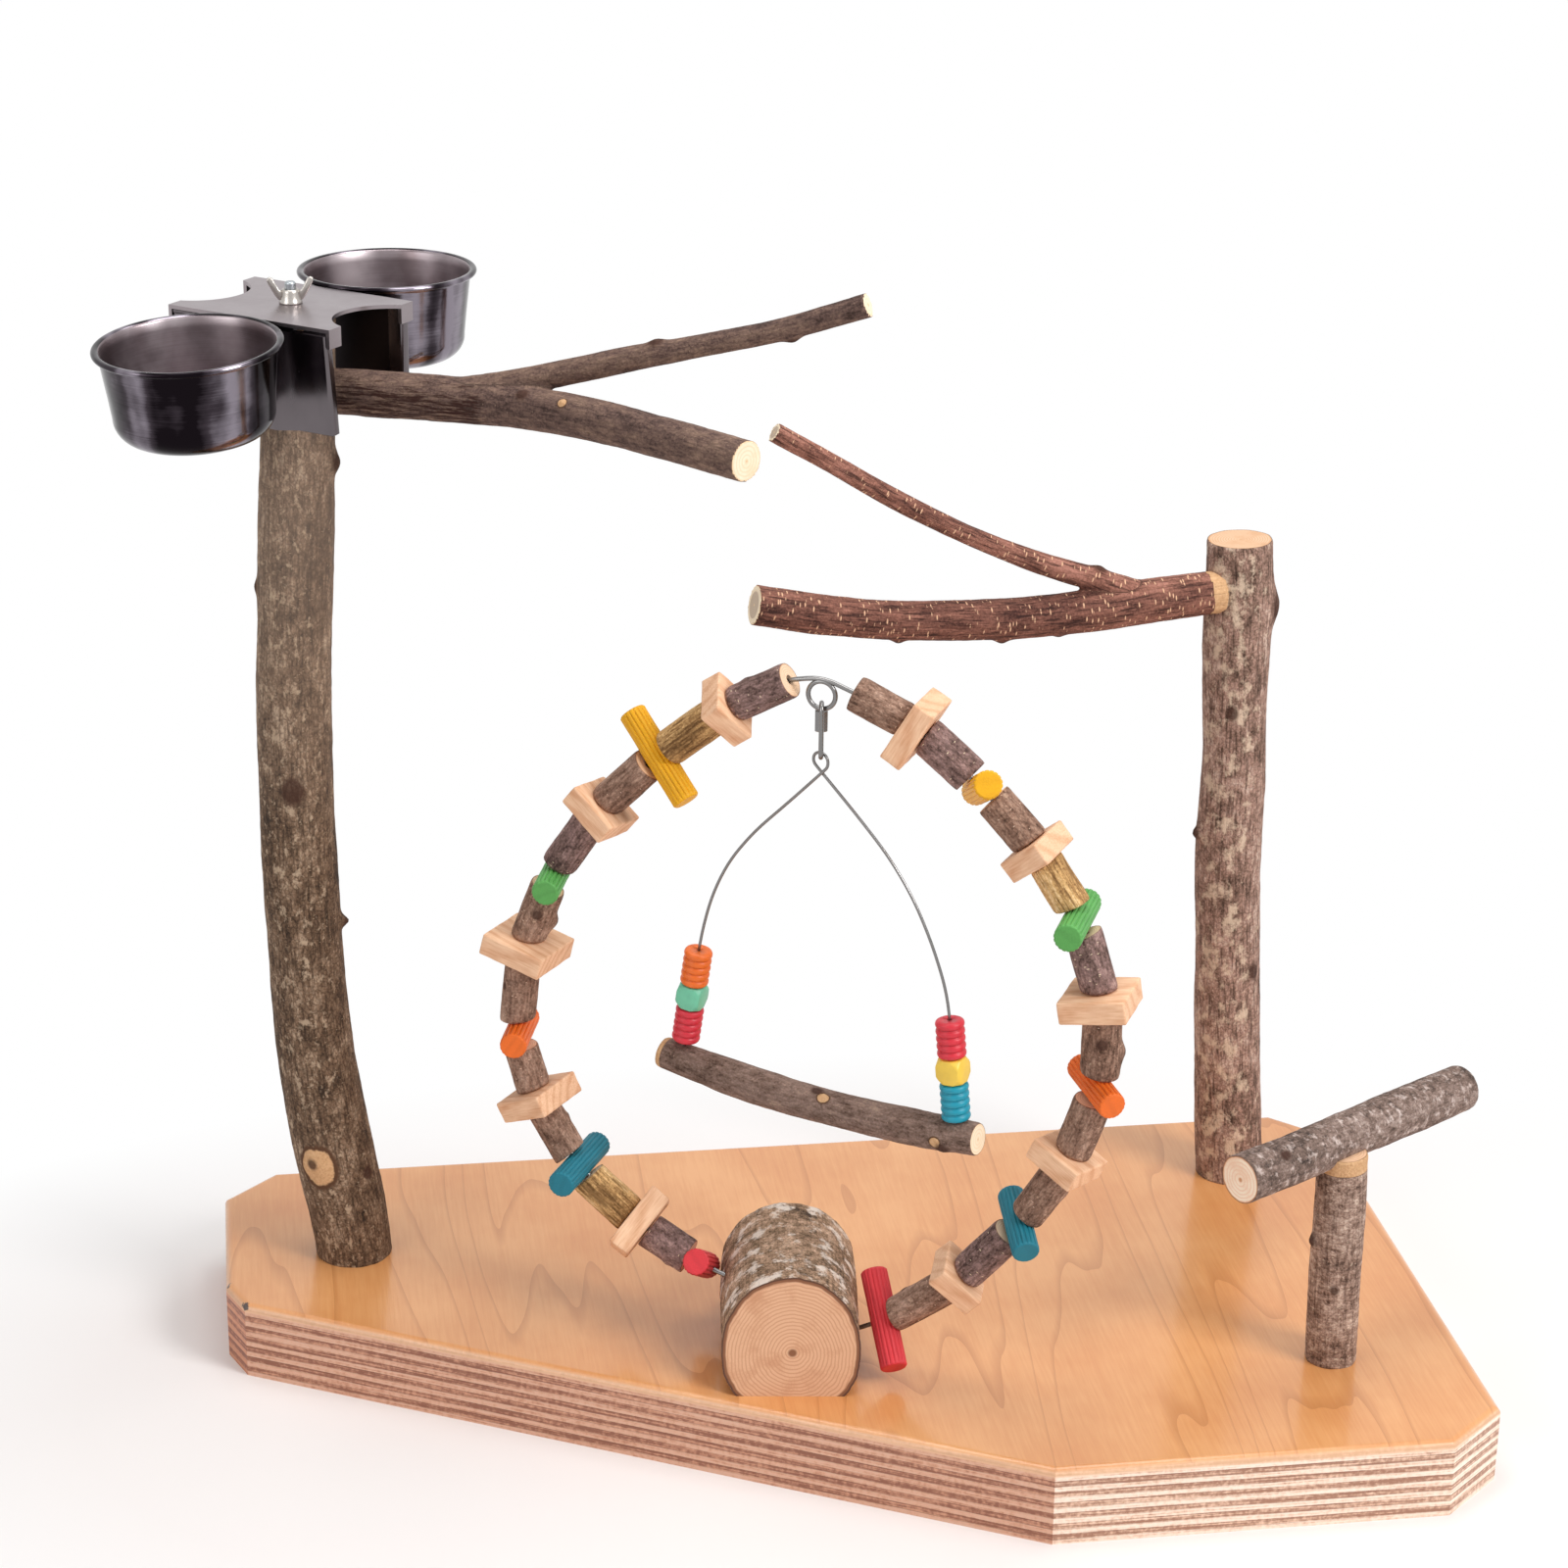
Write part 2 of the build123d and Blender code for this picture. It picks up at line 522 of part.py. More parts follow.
def swing_wire():
    """Swing wire: up the left leg, once around the loop over the link, and down the right leg."""
    corner = LOOP_TURN / LOOP_CORNERS
    reach = LOOP_RADIUS / cos(radians(corner / 2))
    loop = []
    for k in range(LOOP_CORNERS):
        a = radians(90 + (k - (LOOP_CORNERS - 1) / 2) * corner)
        rise = LEG_OFFSET * (1 - 2 * k / (LOOP_CORNERS - 1))
        loop.append((reach * cos(a), LOOP_HEIGHT + reach * sin(a), rise))
    count = len(LEFT_LEG) - 1
    up = [(p, z, LEG_OFFSET * (1 - k / count)) for k, (p, z) in enumerate(LEFT_LEG)]
    down = [(p, z, -LEG_OFFSET * (1 - k / count)) for k, (p, z) in enumerate(RIGHT_LEG)]
    run = [(*LEFT_LEG_END, 0.0)] + up[::-1] + loop + down + [(*RIGHT_LEG_END, 0.0)]
    return put(SWING, tube(rounded_run(run), SWING_WIRE_D))


def leg_line(leg, foot_point):
    """Lower straight run of a swing leg: its foot end and upward direction."""
    foot_end = Vector(*foot_point)
    return foot_end, (Vector(*leg[-1]) - foot_end).normalized()


def ridged_bead():
    """Round bead with five ridges, standing on z."""
    half = RIDGED_LENGTH / 2
    ridge = RIDGED_LENGTH / RIDGE_COUNT
    groove_r = SWING_BEAD_R - GROOVE_DEPTH
    profile = [(0, -half), (groove_r, -half)]
    for i in range(RIDGE_COUNT):
        low = -half + i * ridge
        high = low + ridge
        profile += [(SWING_BEAD_R, low + GROOVE_HALF_WIDTH), (SWING_BEAD_R, high - GROOVE_HALF_WIDTH),
                    (groove_r, high)]
    profile += [(0, half)]
    face = make_face(Polyline(*[(r, 0, z) for r, z in profile], close=True))
    return revolve(face, Axis.Z) - Cylinder(SWING_BEAD_BORE_D / 2, RIDGED_LENGTH + 2)


def cube_bead():
    """Cube bead with well rounded corners, standing on z."""
    bead = fillet(Box(CUBE_SIDE, CUBE_SIDE, CUBE_SIDE).edges(), CUBE_ROUNDING)
    return bead - Cylinder(SWING_BEAD_BORE_D / 2, CUBE_SIDE + 2)


def swing_beads(leg, foot_point, first_height, names):
    """Three beads up one leg: ridged, cube, ridged."""
    foot_end, up = leg_line(leg, foot_point)
    along = (first_height - foot_end.Y) / up.Y
    for name, shape, length in zip(names, (ridged_bead(), cube_bead(), ridged_bead()),
                                   (RIDGED_LENGTH, CUBE_SIDE, RIDGED_LENGTH)):
        along += length / 2
        frame = Plane(origin=foot_end + up * along, x_dir=(0, 0, 1), z_dir=up)
        export(name, put(SWING, put(frame, shape)))
        along += length / 2 + SWING_BEAD_GAP


# ---------------------------------------------------------------- bowls and bracket
BRACKET = Plane(origin=(*BRACKET_CENTRE, 0.0),
                x_dir=(cos(radians(BRACKET_YAW)), sin(radians(BRACKET_YAW)), 0), z_dir=(0, 0, 1))
DROOP = Pos(0, -FLANGE_FACE, FLANGE_TOP) * Rot(FRONT_DROOP, 0, 0) * Pos(0, FLANGE_FACE, -FLANGE_TOP)


def bowl_bracket():
    """Folded holder: a strap over the post's top and two wide flanges hanging from it."""
    strap = Pos(0, 0, POST_TOP + STEEL_T / 2) * Box(2 * STRAP_HALF, 2 * FLANGE_FACE, STEEL_T)
    flange = Pos(0, FLANGE_FACE - STEEL_T / 2, FLANGE_TOP - FLANGE_DROP / 2)
    flange *= Box(2 * FLANGE_HALF_X, STEEL_T, FLANGE_DROP)
    neck = Pos(0, FLANGE_FACE - STEEL_T / 2, POST_TOP) * Box(2 * STRAP_HALF, STEEL_T, 3.0)
    front = Rot(0, 0, 180) * flange
    front_neck = Rot(0, 0, 180) * neck
    bracket = strap + flange + neck + DROOP * front + front_neck
    bracket &= Pos(0, 0, POST_TOP + STEEL_T - 100.0) * Box(300, 300, 200)
    bracket -= Pos(0, 0, POST_TOP) * Cylinder(BOLT_HOLE_D / 2, 20)
    return put(BRACKET, bracket)


def hook_plate():
    """Carrier plate: wraps both upright edges of the flange and bows out to the bowl's wall."""
    inner = FLANGE_FACE - STEEL_T - HOOK_GAP - HOOK_T / 2
    outer = FLANGE_FACE + HOOK_GAP + HOOK_T / 2
    end = FLANGE_HALF_X + HOOK_GAP + HOOK_T / 2
    crown = BOWL_REACH - BOWL_TOP_R - HOOK_T / 2
    half = [(end - HOOK_RETURN, inner), (end, inner), (end, outer), (27.0, outer),
            (16.0, crown + 1.2), (7.0, crown)]
    line = half + [(-x, y) for x, y in reversed(half)]
    bends = [HOOK_BEND_R, HOOK_BEND_R, 14.0, 8.0, 20.0]
    strip = trace(FilletPolyline(*line, radius=bends + bends[::-1]), line_width=HOOK_T)
    plate = Pos(0, 0, HOOK_BOTTOM) * extrude(strip, HOOK_TOP - HOOK_BOTTOM)
    for side in (-1, 1):
        tab = Box(HOOK_TAB_WIDTH, outer - inner, HOOK_T)
        plate += Pos(side * HOOK_TAB_X, (outer + inner) / 2, HOOK_TOP + HOOK_T / 2) * tab
    for below in WELD_BELOW_RIM:
        plate += Pos(0, crown + WELD_OUT, BOWL_RIM - below) * Box(*WELD_SIZE)
    return plate - bowl_blank()


def bowl_profile(shrink):
    """Outer or inner section of the bowl below its rim."""
    low = BOWL_RIM - BOWL_DEPTH + shrink
    with BuildSketch(Plane.XZ) as section:
        with BuildLine():
            Polyline((0, low), (BOWL_LOW_R - shrink, low), (BOWL_TOP_R - shrink, BOWL_RIM),
                     (0, BOWL_RIM), close=True)
        make_face()
        corner = section.vertices().filter_by(lambda v: abs(v.Z - low) < 0.01 and v.X > 1.0)
        fillet(corner, BOWL_CORNER - shrink)
    return section.sketch


def bowl_blank():
    """Solid of the bowl's outer shape, in the bracket's frame."""
    return Pos(0, BOWL_REACH, 0) * revolve(bowl_profile(0.0), Axis.Z)


def bowl():
    """Spun steel bowl with a rolled rim."""
    shell = revolve(bowl_profile(0.0), Axis.Z) - revolve(bowl_profile(BOWL_WALL), Axis.Z)
    shell -= Pos(0, 0, BOWL_RIM) * Cylinder(BOWL_TOP_R - BOWL_WALL, 2 * BOWL_WALL)
    lip_in = BOWL_TOP_R - BOWL_WALL
    lip = Cylinder(BOWL_RIM_R - RIM_ROLL_R, BOWL_WALL) - Cylinder(lip_in, 2 * BOWL_WALL)
    lip = Pos(0, 0, BOWL_RIM - BOWL_WALL / 2) * lip
    roll = Pos(0, 0, BOWL_RIM - RIM_ROLL_R) * Torus(BOWL_RIM_R - RIM_ROLL_R, RIM_ROLL_R)
    return Pos(0, BOWL_REACH, 0) * (shell + lip + roll)


def lock_plate():
    """Four-pointed plate: hollow short sides, its four corner tips turned down as tabs."""
    half = PLATE_ARC_CHORD / 2
    radius = (half ** 2 + PLATE_ARC_DEEP ** 2) / (2 * PLATE_ARC_DEEP)
    level = POST_TOP + STEEL_T
    plate = Pos(0, 0, level + PLATE_T / 2) * Box(2 * PLATE_HALF_X, 2 * PLATE_HALF_Y, PLATE_T)
    tab_y = PLATE_HALF_Y - (PLATE_HALF_Y - half) / 2
    for x_side in (-1, 1):
        for y_side in (-1, 1):
            tab = Box(PLATE_T, PLATE_HALF_Y - half, TAB_DROP + PLATE_T)
            plate += Pos(x_side * (PLATE_HALF_X - PLATE_T / 2), y_side * tab_y,
                         level + PLATE_T - (TAB_DROP + PLATE_T) / 2) * tab
        centre = x_side * (PLATE_HALF_X - PLATE_ARC_DEEP + radius)
        plate -= Pos(centre, 0, level) * Cylinder(radius, 30)
    plate -= Pos(0, 0, level) * Cylinder(BOLT_HOLE_D / 2, 20)
    return put(BRACKET, plate)


def hanger_bolt():
    """Stud that stands up from the post through bracket and lock plate."""
    length = BOLT_TOP - (POST_TOP - BOLT_IN_POST)
    bolt = Pos(0, 0, BOLT_TOP - length / 2) * Cylinder(BOLT_D / 2, length)
    bolt = chamfer(bolt.edges().sort_by(Axis.Z)[-1], BOLT_ARRIS)
    return put(BRACKET, bolt)


def wing_nut():
    """Wing nut: a tapered hub with two upswept wings."""
    base = POST_TOP + STEEL_T + PLATE_T
    nut = Pos(0, 0, base + NUT_HUB_H / 2) * Cone(NUT_HUB_LOW_R, NUT_HUB_TOP_R, NUT_HUB_H)
    for side in (-1, 1):
        wing = make_face(Polyline(*[(side * x, 0, base + z) for x, z in WING_OUTLINE], close=True))
        nut += extrude(wing, WING_HALF_T, both=True, dir=(0, 1, 0))
    nut -= Pos(0, 0, base + NUT_HUB_H) * Cylinder(NUT_BORE_D / 2, 4 * NUT_HUB_H)
    return put(BRACKET, Rot(0, 0, NUT_TURN) * nut)


# ---------------------------------------------------------------- build every node
def build_wood():
    """Board, posts, branches and their screws."""
    export("base_board", base_board())
    export("base_screws", *[base_screw(x, y) for x, y in SCREW_PLACES])

    left_wood = post(LEFT_POST, LEFT_POST_KNOTS, POST_TOP)
    left = drill(drill_from_below(left_wood, *foot(LEFT_POST)), UPPER_JOINT)
    left -= Pos(*BRACKET_CENTRE, POST_TOP) * Cylinder(STUD_HOLE_D / 2, 2 * BOLT_IN_POST + 1)
    export("left_post", left)

    right_wood = post(RIGHT_POST, RIGHT_POST_KNOTS)
    right = drill(drill_from_below(right_wood, *foot(RIGHT_POST)), LOWER_JOINT)
    export("right_post", right)

    perch_stud = [end + PERCH_STUD_SHIFT for end in PERCH_JOINT]
    perch = limb(CROSS_PERCH)
    short = post(SHORT_POST, SHORT_POST_KNOTS) - perch
    short = short.solids().sort_by(Axis.Z)[0]
    short = drill(drill_from_below(short, *foot(SHORT_POST)), perch_stud)
    export("short_post", short)
    export("cross_perch", drill(perch, perch_stud))

    upper = with_knots(limb(UPPER_THICK) + limb(UPPER_THIN), UPPER_FORK_KNOTS) - left_wood
    upper = drill(upper.solids().sort_by(SortBy.VOLUME)[-1], UPPER_JOINT)
    export("upper_fork_branch", upper)
    lower = with_knots(limb(LOWER_THICK) + limb(LOWER_THIN), LOWER_FORK_KNOTS) - right_wood
    lower = drill(lower.solids().sort_by(SortBy.VOLUME)[-1], LOWER_JOINT)
    export("lower_fork_branch", lower)
    export("branch_screws", *[rod(tuple(ends[0]), tuple(ends[1]), STUD_D)
                              for ends in (UPPER_JOINT, LOWER_JOINT, perch_stud)])


def build_hoop():
    """Log, hoop wire and everything threaded on it."""
    export("hoop_log", log_block())
    export("hoop_wire", hoop_wire())
    for side, index_of, blocks, dowels, radii in (
            ("left", left_index, LEFT_BLOCKS, LEFT_DOWELS, LEFT_BEAD_R),
            ("right", right_index, RIGHT_BLOCKS, RIGHT_DOWELS, RIGHT_BEAD_R)):
        for i in range(5):
            export(f"block_{side}_{i + 1}", block(index_of(2 * i + 1), *blocks[i]))
            export(f"dowel_{side}_{COLOURS[i]}", dowel(index_of(2 * i + 2), *dowels[i]))
            pair = [bark_bead(side, 2 * i + k, radii[2 * i + k - 1]) for k in (1, 2)]
            export(f"bark_beads_{side}_{i + 1}", *pair)


def build_swing():
    """Quick link, swing wire, its perch and beads."""
    export("quick_link", quick_link())
    export("link_sleeve", link_sleeve())
    perch = put(SWING, limb([(x, z, y, r) for x, y, z, r in SWING_PERCH]))
    knots = [(*SWING.from_local_coords(Vector(x, z, y)), r) for x, y, z, r in SWING_PERCH_KNOTS]
    perch = with_knots(perch, knots)
    for leg, foot_point in ((LEFT_LEG, LEFT_LEG_END), (RIGHT_LEG, RIGHT_LEG_END)):
        foot_end, up = leg_line(leg, foot_point)
        hole = rod(tuple(foot_end - up * 0.5), tuple(foot_end + up * 30.0), SWING_WIRE_D + 0.1)
        perch -= put(SWING, hole)
    export("swing_wire", swing_wire())
    export("swing_perch", perch)
    swing_beads(LEFT_LEG, LEFT_LEG_END, LEFT_BEADS_FROM,
                ("swing_bead_left_red", "swing_bead_left_mint", "swing_bead_left_orange"))
    swing_beads(RIGHT_LEG, RIGHT_LEG_END, RIGHT_BEADS_FROM,
                ("swing_bead_right_blue", "swing_bead_right_yellow", "swing_bead_right_red"))


def build_bowls():
    """Bracket, lock plate and its nut, and the two bowls with their carrier plates."""
    export("bowl_bracket", bowl_bracket())
    export("hanger_bolt", hanger_bolt())
    export("lock_plate", lock_plate())
    export("wing_nut", wing_nut())
    front = DROOP * Rot(0, 0, 180)
    export("back_bowl", put(BRACKET, bowl()))
    export("back_hook_plate", put(BRACKET, hook_plate()))
    export("front_bowl", put(BRACKET, front * bowl()))
    export("front_hook_plate", put(BRACKET, front * hook_plate()))


os.makedirs("parts", exist_ok=True)
build_wood()
build_hoop()
build_swing()
build_bowls()
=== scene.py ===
"""Parrot play stand: the finished look of every piece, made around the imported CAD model."""
import math

import bmesh
import bpy
import numpy as np
from mathutils import Matrix, Vector, noise


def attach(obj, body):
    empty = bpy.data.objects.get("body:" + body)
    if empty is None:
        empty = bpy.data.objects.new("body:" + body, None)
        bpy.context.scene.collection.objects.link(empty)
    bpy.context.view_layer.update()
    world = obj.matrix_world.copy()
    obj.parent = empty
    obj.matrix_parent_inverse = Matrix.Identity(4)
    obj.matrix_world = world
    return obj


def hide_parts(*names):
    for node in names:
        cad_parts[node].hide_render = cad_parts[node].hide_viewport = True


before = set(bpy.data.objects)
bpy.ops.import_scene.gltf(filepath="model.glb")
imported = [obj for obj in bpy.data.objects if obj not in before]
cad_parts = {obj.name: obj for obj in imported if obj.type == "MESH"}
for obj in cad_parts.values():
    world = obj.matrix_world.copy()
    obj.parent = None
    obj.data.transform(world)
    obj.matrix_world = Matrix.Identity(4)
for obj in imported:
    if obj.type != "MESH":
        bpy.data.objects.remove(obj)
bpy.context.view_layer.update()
MM = 0.001
METRES = Matrix.Scale(MM, 4)
ACROSS_TO_UP = Matrix.Rotation(math.radians(90), 4, "X")
BOARD_TOP = 44.0


# ---------------------------------------------------------------- materials
def linear(code):
    """Linear colour of a six-digit sRGB code."""
    parts = [int(code[i:i + 2], 16) / 255 for i in (0, 2, 4)]
    return [c / 12.92 if c <= 0.04045 else ((c + 0.055) / 1.055) ** 2.4 for c in parts] + [1.0]


def per(size_mm):
    """Texture scale whose features are about this many millimetres across."""
    return 1000.0 / size_mm


def add(tree, kind, inputs=None, output=0, stops=None, **settings):
    """Add one node with its settings and links, and give back one of its outputs."""
    node = tree.nodes.new("ShaderNode" + kind)
    for name, value in settings.items():
        setattr(node, name, value)
    if stops:
        elements = node.color_ramp.elements
        while len(elements) < len(stops):
            elements.new(1.0)
        for element, (place, code) in zip(elements, stops):
            element.position = place
            element.color = linear(code)
    for name, value in (inputs or {}).items():
        socket = node.inputs[name]
        if isinstance(value, bpy.types.NodeSocket):
            tree.links.new(value, socket)
        else:
            socket.default_value = value
    return node.outputs[output] if output is not None else node


def new_tree(name):
    """Empty node material and its tree."""
    material = bpy.data.materials.new(name)
    material.use_nodes = True
    material.node_tree.nodes.clear()
    return material, material.node_tree


def finish_material(tree, colour, roughness, height=None, bump_mm=0.3, fixed=None):
    """Shader and output of a material; a height of 0 to 1 raises the surface by up to bump_mm."""
    inputs = {"Base Color": colour, "Roughness": roughness}
    if height is not None:
        inputs["Normal"] = add(tree, "Bump", {"Height": height, "Distance": bump_mm * MM, "Strength": 1.0})
    inputs.update(fixed or {})
    add(tree, "OutputMaterial", {"Surface": add(tree, "BsdfPrincipled", inputs)}, output=None)


# surface of a limb, as (size across, size along the limb) in millimetres, from lumps to threads
LUMPS, RIPPLES, THREADS = (30.0, 55.0), (7.0, 16.0), (2.2, 4.5)
SCAR_RIM, SCAR_WOOD, BUD_SKIN = "5A3E2C", ("C29468", "DDB48A"), "3F251B"


def bark(name, colours, streak=2.4, mottle_mm=6.0, net=0.25, patch=None, pores=None, ridges=None, crack=None,
         paling=None):
    """Dry bark: matt and mottled, netted with fine cracks.

    colours run from the deepest to the palest, and streak stretches the mottling along the limb.
    patch is pale lichen (colour, share, size, stretch, softness, lean to one side), pores are short
    dashes round the limb (colour, share), ridges are lengthwise furrows (colour, strength), and the paler
    colour screened over the limb between two lengths along it is given last (colour, low and high end of the
    change along the limb)."""
    material, tree = new_tree(name)
    grain = add(tree, "Attribute", output=1, attribute_name="grain")
    along = add(tree, "VectorMath", {0: grain, 1: (1.0, 1.0, 1.0 / streak)}, operation="MULTIPLY")
    drawn = add(tree, "VectorMath", {0: grain, 1: (1.0, 1.0, 0.09)}, operation="MULTIPLY")
    # mottling of hand size, thumb size and pinhead size
    broad = add(tree, "TexNoise", {"Vector": along, "Scale": per(26), "Detail": 3.0})
    mottle = add(tree, "TexNoise", {"Vector": along, "Scale": per(mottle_mm), "Detail": 7.0,
                                    "Roughness": 0.68})
    speck = add(tree, "TexNoise", {"Vector": grain, "Scale": per(1.3), "Detail": 3.0, "Roughness": 0.65})
    thread = add(tree, "TexNoise", {"Vector": drawn, "Scale": per(1.5), "Detail": 3.0, "Roughness": 0.6})
    cells = add(tree, "TexVoronoi", {"Vector": along, "Scale": per(2.4), "Randomness": 1.0},
                feature="DISTANCE_TO_EDGE")
    mesh_line = add(tree, "MapRange", {"Value": cells, "From Min": 0.0, "From Max": 0.16})
    tone = add(tree, "Math", {0: broad, 1: 0.45}, operation="MULTIPLY")
    tone = add(tree, "Math", {0: mottle, 1: 0.80, 2: tone}, operation="MULTIPLY_ADD")
    tone = add(tree, "Math", {0: speck, 1: 0.45, 2: tone}, operation="MULTIPLY_ADD")
    tone = add(tree, "Math", {0: thread, 1: 0.30, 2: tone}, operation="MULTIPLY_ADD")
    tone = add(tree, "MapRange", {"Value": tone, "From Min": 0.80, "From Max": 1.20})
    colour = add(tree, "ValToRGB", {0: tone}, stops=list(zip((0.0, 0.34, 0.64, 1.0), colours)))
    fade = add(tree, "MapRange", {"Value": mesh_line, "To Min": 1.0 - net, "To Max": 1.0})
    colour = add(tree, "Mix", {0: 1.0, 6: colour, 7: fade}, output=2, data_type="RGBA",
                 blend_type="MULTIPLY")
    height = add(tree, "Math", {0: mesh_line, 1: 0.25, 2: tone}, operation="MULTIPLY_ADD")
    if ridges:
        furrow, strength = ridges
        line = add(tree, "MapRange", {"Value": thread, "From Min": 0.46, "From Max": 0.36,
                                      "To Max": strength})
        colour = add(tree, "Mix", {0: line, 6: colour, 7: linear(furrow)}, output=2, data_type="RGBA")
        height = add(tree, "Math", {0: line, 1: -0.6, 2: height}, operation="MULTIPLY_ADD")
    # paler towards the far end of the limb: a colour screened over it between two lengths
    if paling:
        paling_colour, low, high = paling
        length = add(tree, "SeparateXYZ", {0: grain}, output=2)
        paling_share = add(tree, "MapRange", {"Value": length, "From Min": low, "From Max": high})
        colour = add(tree, "Mix", {0: paling_share, 6: colour, 7: linear(paling_colour)}, output=2, data_type="RGBA",
                     blend_type="SCREEN")
    if patch:
        # lichen and weathered skin in blots
        lichen, share, size, stretch, soft, lean = patch
        spread = add(tree, "VectorMath", {0: grain, 1: (1.0, 1.0, 1.0 / stretch)}, operation="MULTIPLY")
        blot = add(tree, "TexNoise", {"Vector": spread, "Scale": per(size), "Detail": 5.0,
                                      "Roughness": 0.6})
        blot = add(tree, "Math", {0: speck, 1: 0.16, 2: blot}, operation="MULTIPLY_ADD")
        side = add(tree, "VectorMath", {0: grain, 1: lean}, output=1, operation="DOT_PRODUCT")
        blot = add(tree, "Math", {0: blot, 1: side}, operation="ADD")
        edge = 0.80 - 0.36 * share
        blot = add(tree, "MapRange", {"Value": blot, "From Min": edge, "From Max": edge + soft,
                                      "To Max": 0.8})
        colour = add(tree, "Mix", {0: blot, 6: colour, 7: linear(lichen)}, output=2, data_type="RGBA")
    if pores:
        # breathing pores: short dashes that run round the limb
        dash, share = pores
        across = add(tree, "VectorMath", {0: grain, 1: (1.0, 1.0, 3.4)}, operation="MULTIPLY")
        spots = add(tree, "TexVoronoi", {"Vector": across, "Scale": per(7.0), "Randomness": 1.0})
        spots = add(tree, "MapRange", {"Value": spots, "From Min": share, "From Max": share * 0.6})
        colour = add(tree, "Mix", {0: spots, 6: colour, 7: linear(dash)}, output=2, data_type="RGBA")
        height = add(tree, "Math", {0: spots, 1: 0.5, 2: height}, operation="MULTIPLY_ADD")
    if crack:
        # split skin, showing the dark layer under it in thin lengthwise tears
        split = add(tree, "Attribute", output=2, attribute_name="split")
        tear = add(tree, "TexNoise", {"Vector": drawn, "Scale": per(1.5), "Detail": 5.0, "Roughness": 0.7})
        tear = add(tree, "Math", {0: split, 1: 0.22, 2: tear}, operation="MULTIPLY_ADD")
        tear = add(tree, "MapRange", {"Value": tear, "From Min": 0.64, "From Max": 0.76})
        colour = add(tree, "Mix", {0: tear, 6: colour, 7: linear(crack)}, output=2, data_type="RGBA")
        height = add(tree, "Math", {0: tear, 1: -0.6, 2: height}, operation="MULTIPLY_ADD")
    # pruned and bruised places: bare pale wood inside a dark rim
    scar = add(tree, "Attribute", output=2, attribute_name="scar")
    ragged = add(tree, "Math", {0: mottle, 1: 0.4, 2: scar}, operation="MULTIPLY_ADD")
    rim = add(tree, "MapRange", {"Value": ragged, "From Min": 0.50, "From Max": 0.58})
    bare = add(tree, "MapRange", {"Value": ragged, "From Min": 0.66, "From Max": 0.72})
    colour = add(tree, "Mix", {0: rim, 6: colour, 7: linear(SCAR_RIM)}, output=2, data_type="RGBA")
    pale = add(tree, "ValToRGB", {0: speck}, stops=list(zip((0.3, 0.7), SCAR_WOOD)))
    colour = add(tree, "Mix", {0: bare, 6: colour, 7: pale}, output=2, data_type="RGBA")
    # buds and closed-over knots are dark red-brown
    bud = add(tree, "Attribute", output=2, attribute_name="bud")
    bud = add(tree, "MapRange", {"Value": bud, "From Min": 0.20, "From Max": 0.60, "To Max": 0.85})
    colour = add(tree, "Mix", {0: bud, 6: colour, 7: linear(BUD_SKIN)}, output=2, data_type="RGBA")
    finish_material(tree, colour, 0.82, height, 0.40, {"Specular IOR Level": 0.25})
    return material


